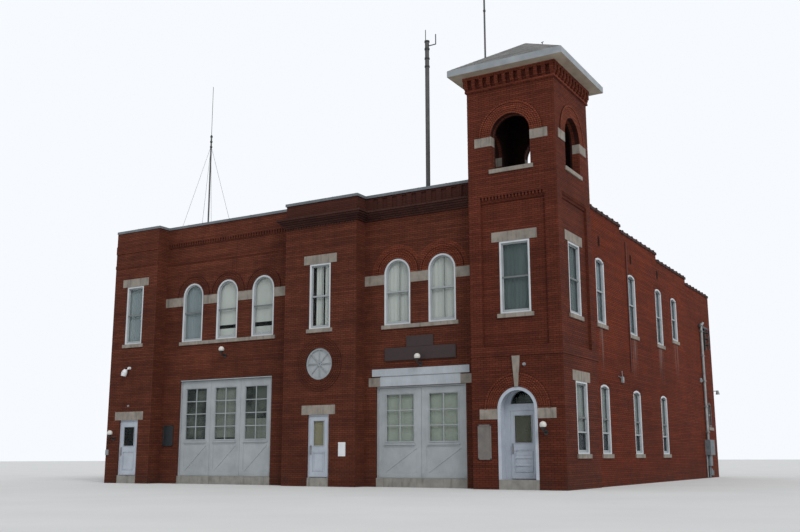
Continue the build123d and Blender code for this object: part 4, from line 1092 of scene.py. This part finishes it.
# Vent slots above the upper side windows: upright slots left in the brickwork, each with a dark
# painted rim round it and a near-black lining set back in it, which stands for the shade inside
# the slot: painted shade.
slot_black_and_shade = brick_finish("vent_slot_black_and_shade", (14, 9, 8), (22, 14, 12))
slots = bmesh.new()
for y in hall_mids:
    bar(slots, hall_flank, y - 0.054, y + 0.054, 8.372, 8.658, -0.006, 0.004, 0.001)
    for start in (y - vent_half - 0.04, y + vent_half):
        bar(slots, hall_flank, start, start + 0.04, vent_foot - 0.035, vent_head + 0.035, 0.007, 0.01, 0.002)
    for low in (vent_foot - 0.035, vent_head):
        bar(slots, hall_flank, y - vent_half, y + vent_half, low, low + 0.035, 0.007, 0.01, 0.002)
add_piece("vent_slots", slots, slot_black_and_shade)

# Roof irons: a hook fixed to the tower roof, steel clamps round the masts and the rod, and four
# wire stays from the left mast down to the roof.
roof_rods = [
    ((9.31, -9.96, 14.66), (9.31, -9.96, 14.76), 0.014),
    ((9.27, -9.96, 14.76), (9.36, -9.96, 14.78), 0.012),
]
for x, y, radius, levels in (
    (4.34, -9.0, 0.098, (15.3, 15.62, 16.0, 16.3)),
    (-7.55, -7.5, 0.055, (14.62, 14.86, 15.1)),
    (7.2, -10, 0.045, (14.6, 16.4)),
):
    roof_rods += [((x, y, level), (x, y, level + 0.06), radius) for level in levels]
for foot in ((-9.2, -8.2, 9.0), (-6.6, -6.2, 9.0), (-6.4, -9.3, 9.0), (-8.6, -6.0, 9.0)):
    roof_rods.append(((-7.55, -7.5, 14.7), foot, 0.006, None, 6))
fittings("roof_irons", black_iron, rods=roof_rods)

# Door leaves: mouldings round the glass and the sunk panels, and a weather bar at the foot; the
# tower door has two bars across its panel.
for name in ("left", "central", "tower"):
    leaf_low, leaf_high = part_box(f"{name}_door_leaf")
    pane_low, pane_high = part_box(f"{name}_door_glass")
    face = ("y", leaf_low[1], -1)
    left, right, foot = pane_low[0], pane_high[0], leaf_low[2]
    trims = bmesh.new()
    panel_low, panel_high = foot + 0.22, pane_low[2] - 0.2
    for low, high in ((pane_low[2], pane_high[2]), (panel_low, panel_high)):
        beads(trims, face, left, right, low, high, 0.02, 0.006, 0.012, 0.003)
    for share in (1 / 3, 2 / 3) if name == "tower" else ():
        level = panel_low + (panel_high - panel_low) * share
        bar(trims, face, left + 0.02, right - 0.02, level - 0.04, level + 0.04, 0.001, 0.02, 0.003)
    weather_left, weather_right = leaf_low[0] + 0.02, leaf_high[0] - 0.02
    bar(trims, face, weather_left, weather_right, foot + 0.02, foot + 0.07, 0.01, 0.012, 0.004)
    add_piece(f"{name}_door_mouldings", trims, lit_door_paint, f"{name}_door")


# Floor and light: a pale floor under an even pale sky, with one broad soft lamp from the
# street side and the right.
ground = bmesh.new()
bmesh.ops.create_circle(ground, cap_ends=True, segments=96, radius=220)
ground_mesh = bpy.data.meshes.new("floor")
ground.to_mesh(ground_mesh)
ground.free()
floor = bpy.data.objects.new("floor", ground_mesh)
scene.collection.objects.link(floor)
floor.location.z = -0.002
pale = Finish("pale_floor", roughness=0.9)
pale.coat(pale.noise(0.3, 2).ramp((0.3, (0.66, 0.66, 0.65)), (0.7, (0.7, 0.7, 0.69))))
floor.data.materials.append(pale.material)

world = bpy.data.worlds.new("studio")
scene.world = world
world.use_nodes = True
sky = world.node_tree
sky_light = sky.nodes["Background"]
sky_light.inputs["Color"].default_value = (0.93, 0.96, 1.0, 1)
rays = sky.nodes.new("ShaderNodeLightPath")
seen = rays.outputs["Is Camera Ray"]
for kind in ("Is Glossy Ray", "Is Transmission Ray"):
    either = sky.nodes.new("ShaderNodeMath")
    either.operation = "MAXIMUM"
    sky.links.new(seen, either.inputs[0])
    sky.links.new(rays.outputs[kind], either.inputs[1])
    seen = either.outputs[0]
strength = sky.nodes.new("ShaderNodeMapRange")
strength.inputs["To Min"].default_value = 0.62
strength.inputs["To Max"].default_value = 1.0
sky.links.new(seen, strength.inputs["Value"])
sky.links.new(strength.outputs[0], sky_light.inputs["Strength"])

lamp = bpy.data.objects.new("soft_sun", bpy.data.lights.new("soft_sun", "SUN"))
lamp.data.energy = 1.5
lamp.data.angle = math.radians(25)
lamp.rotation_euler = Vector((0.75, -0.55, 0.75)).to_track_quat("Z", "Y").to_euler()
scene.collection.objects.link(lamp)
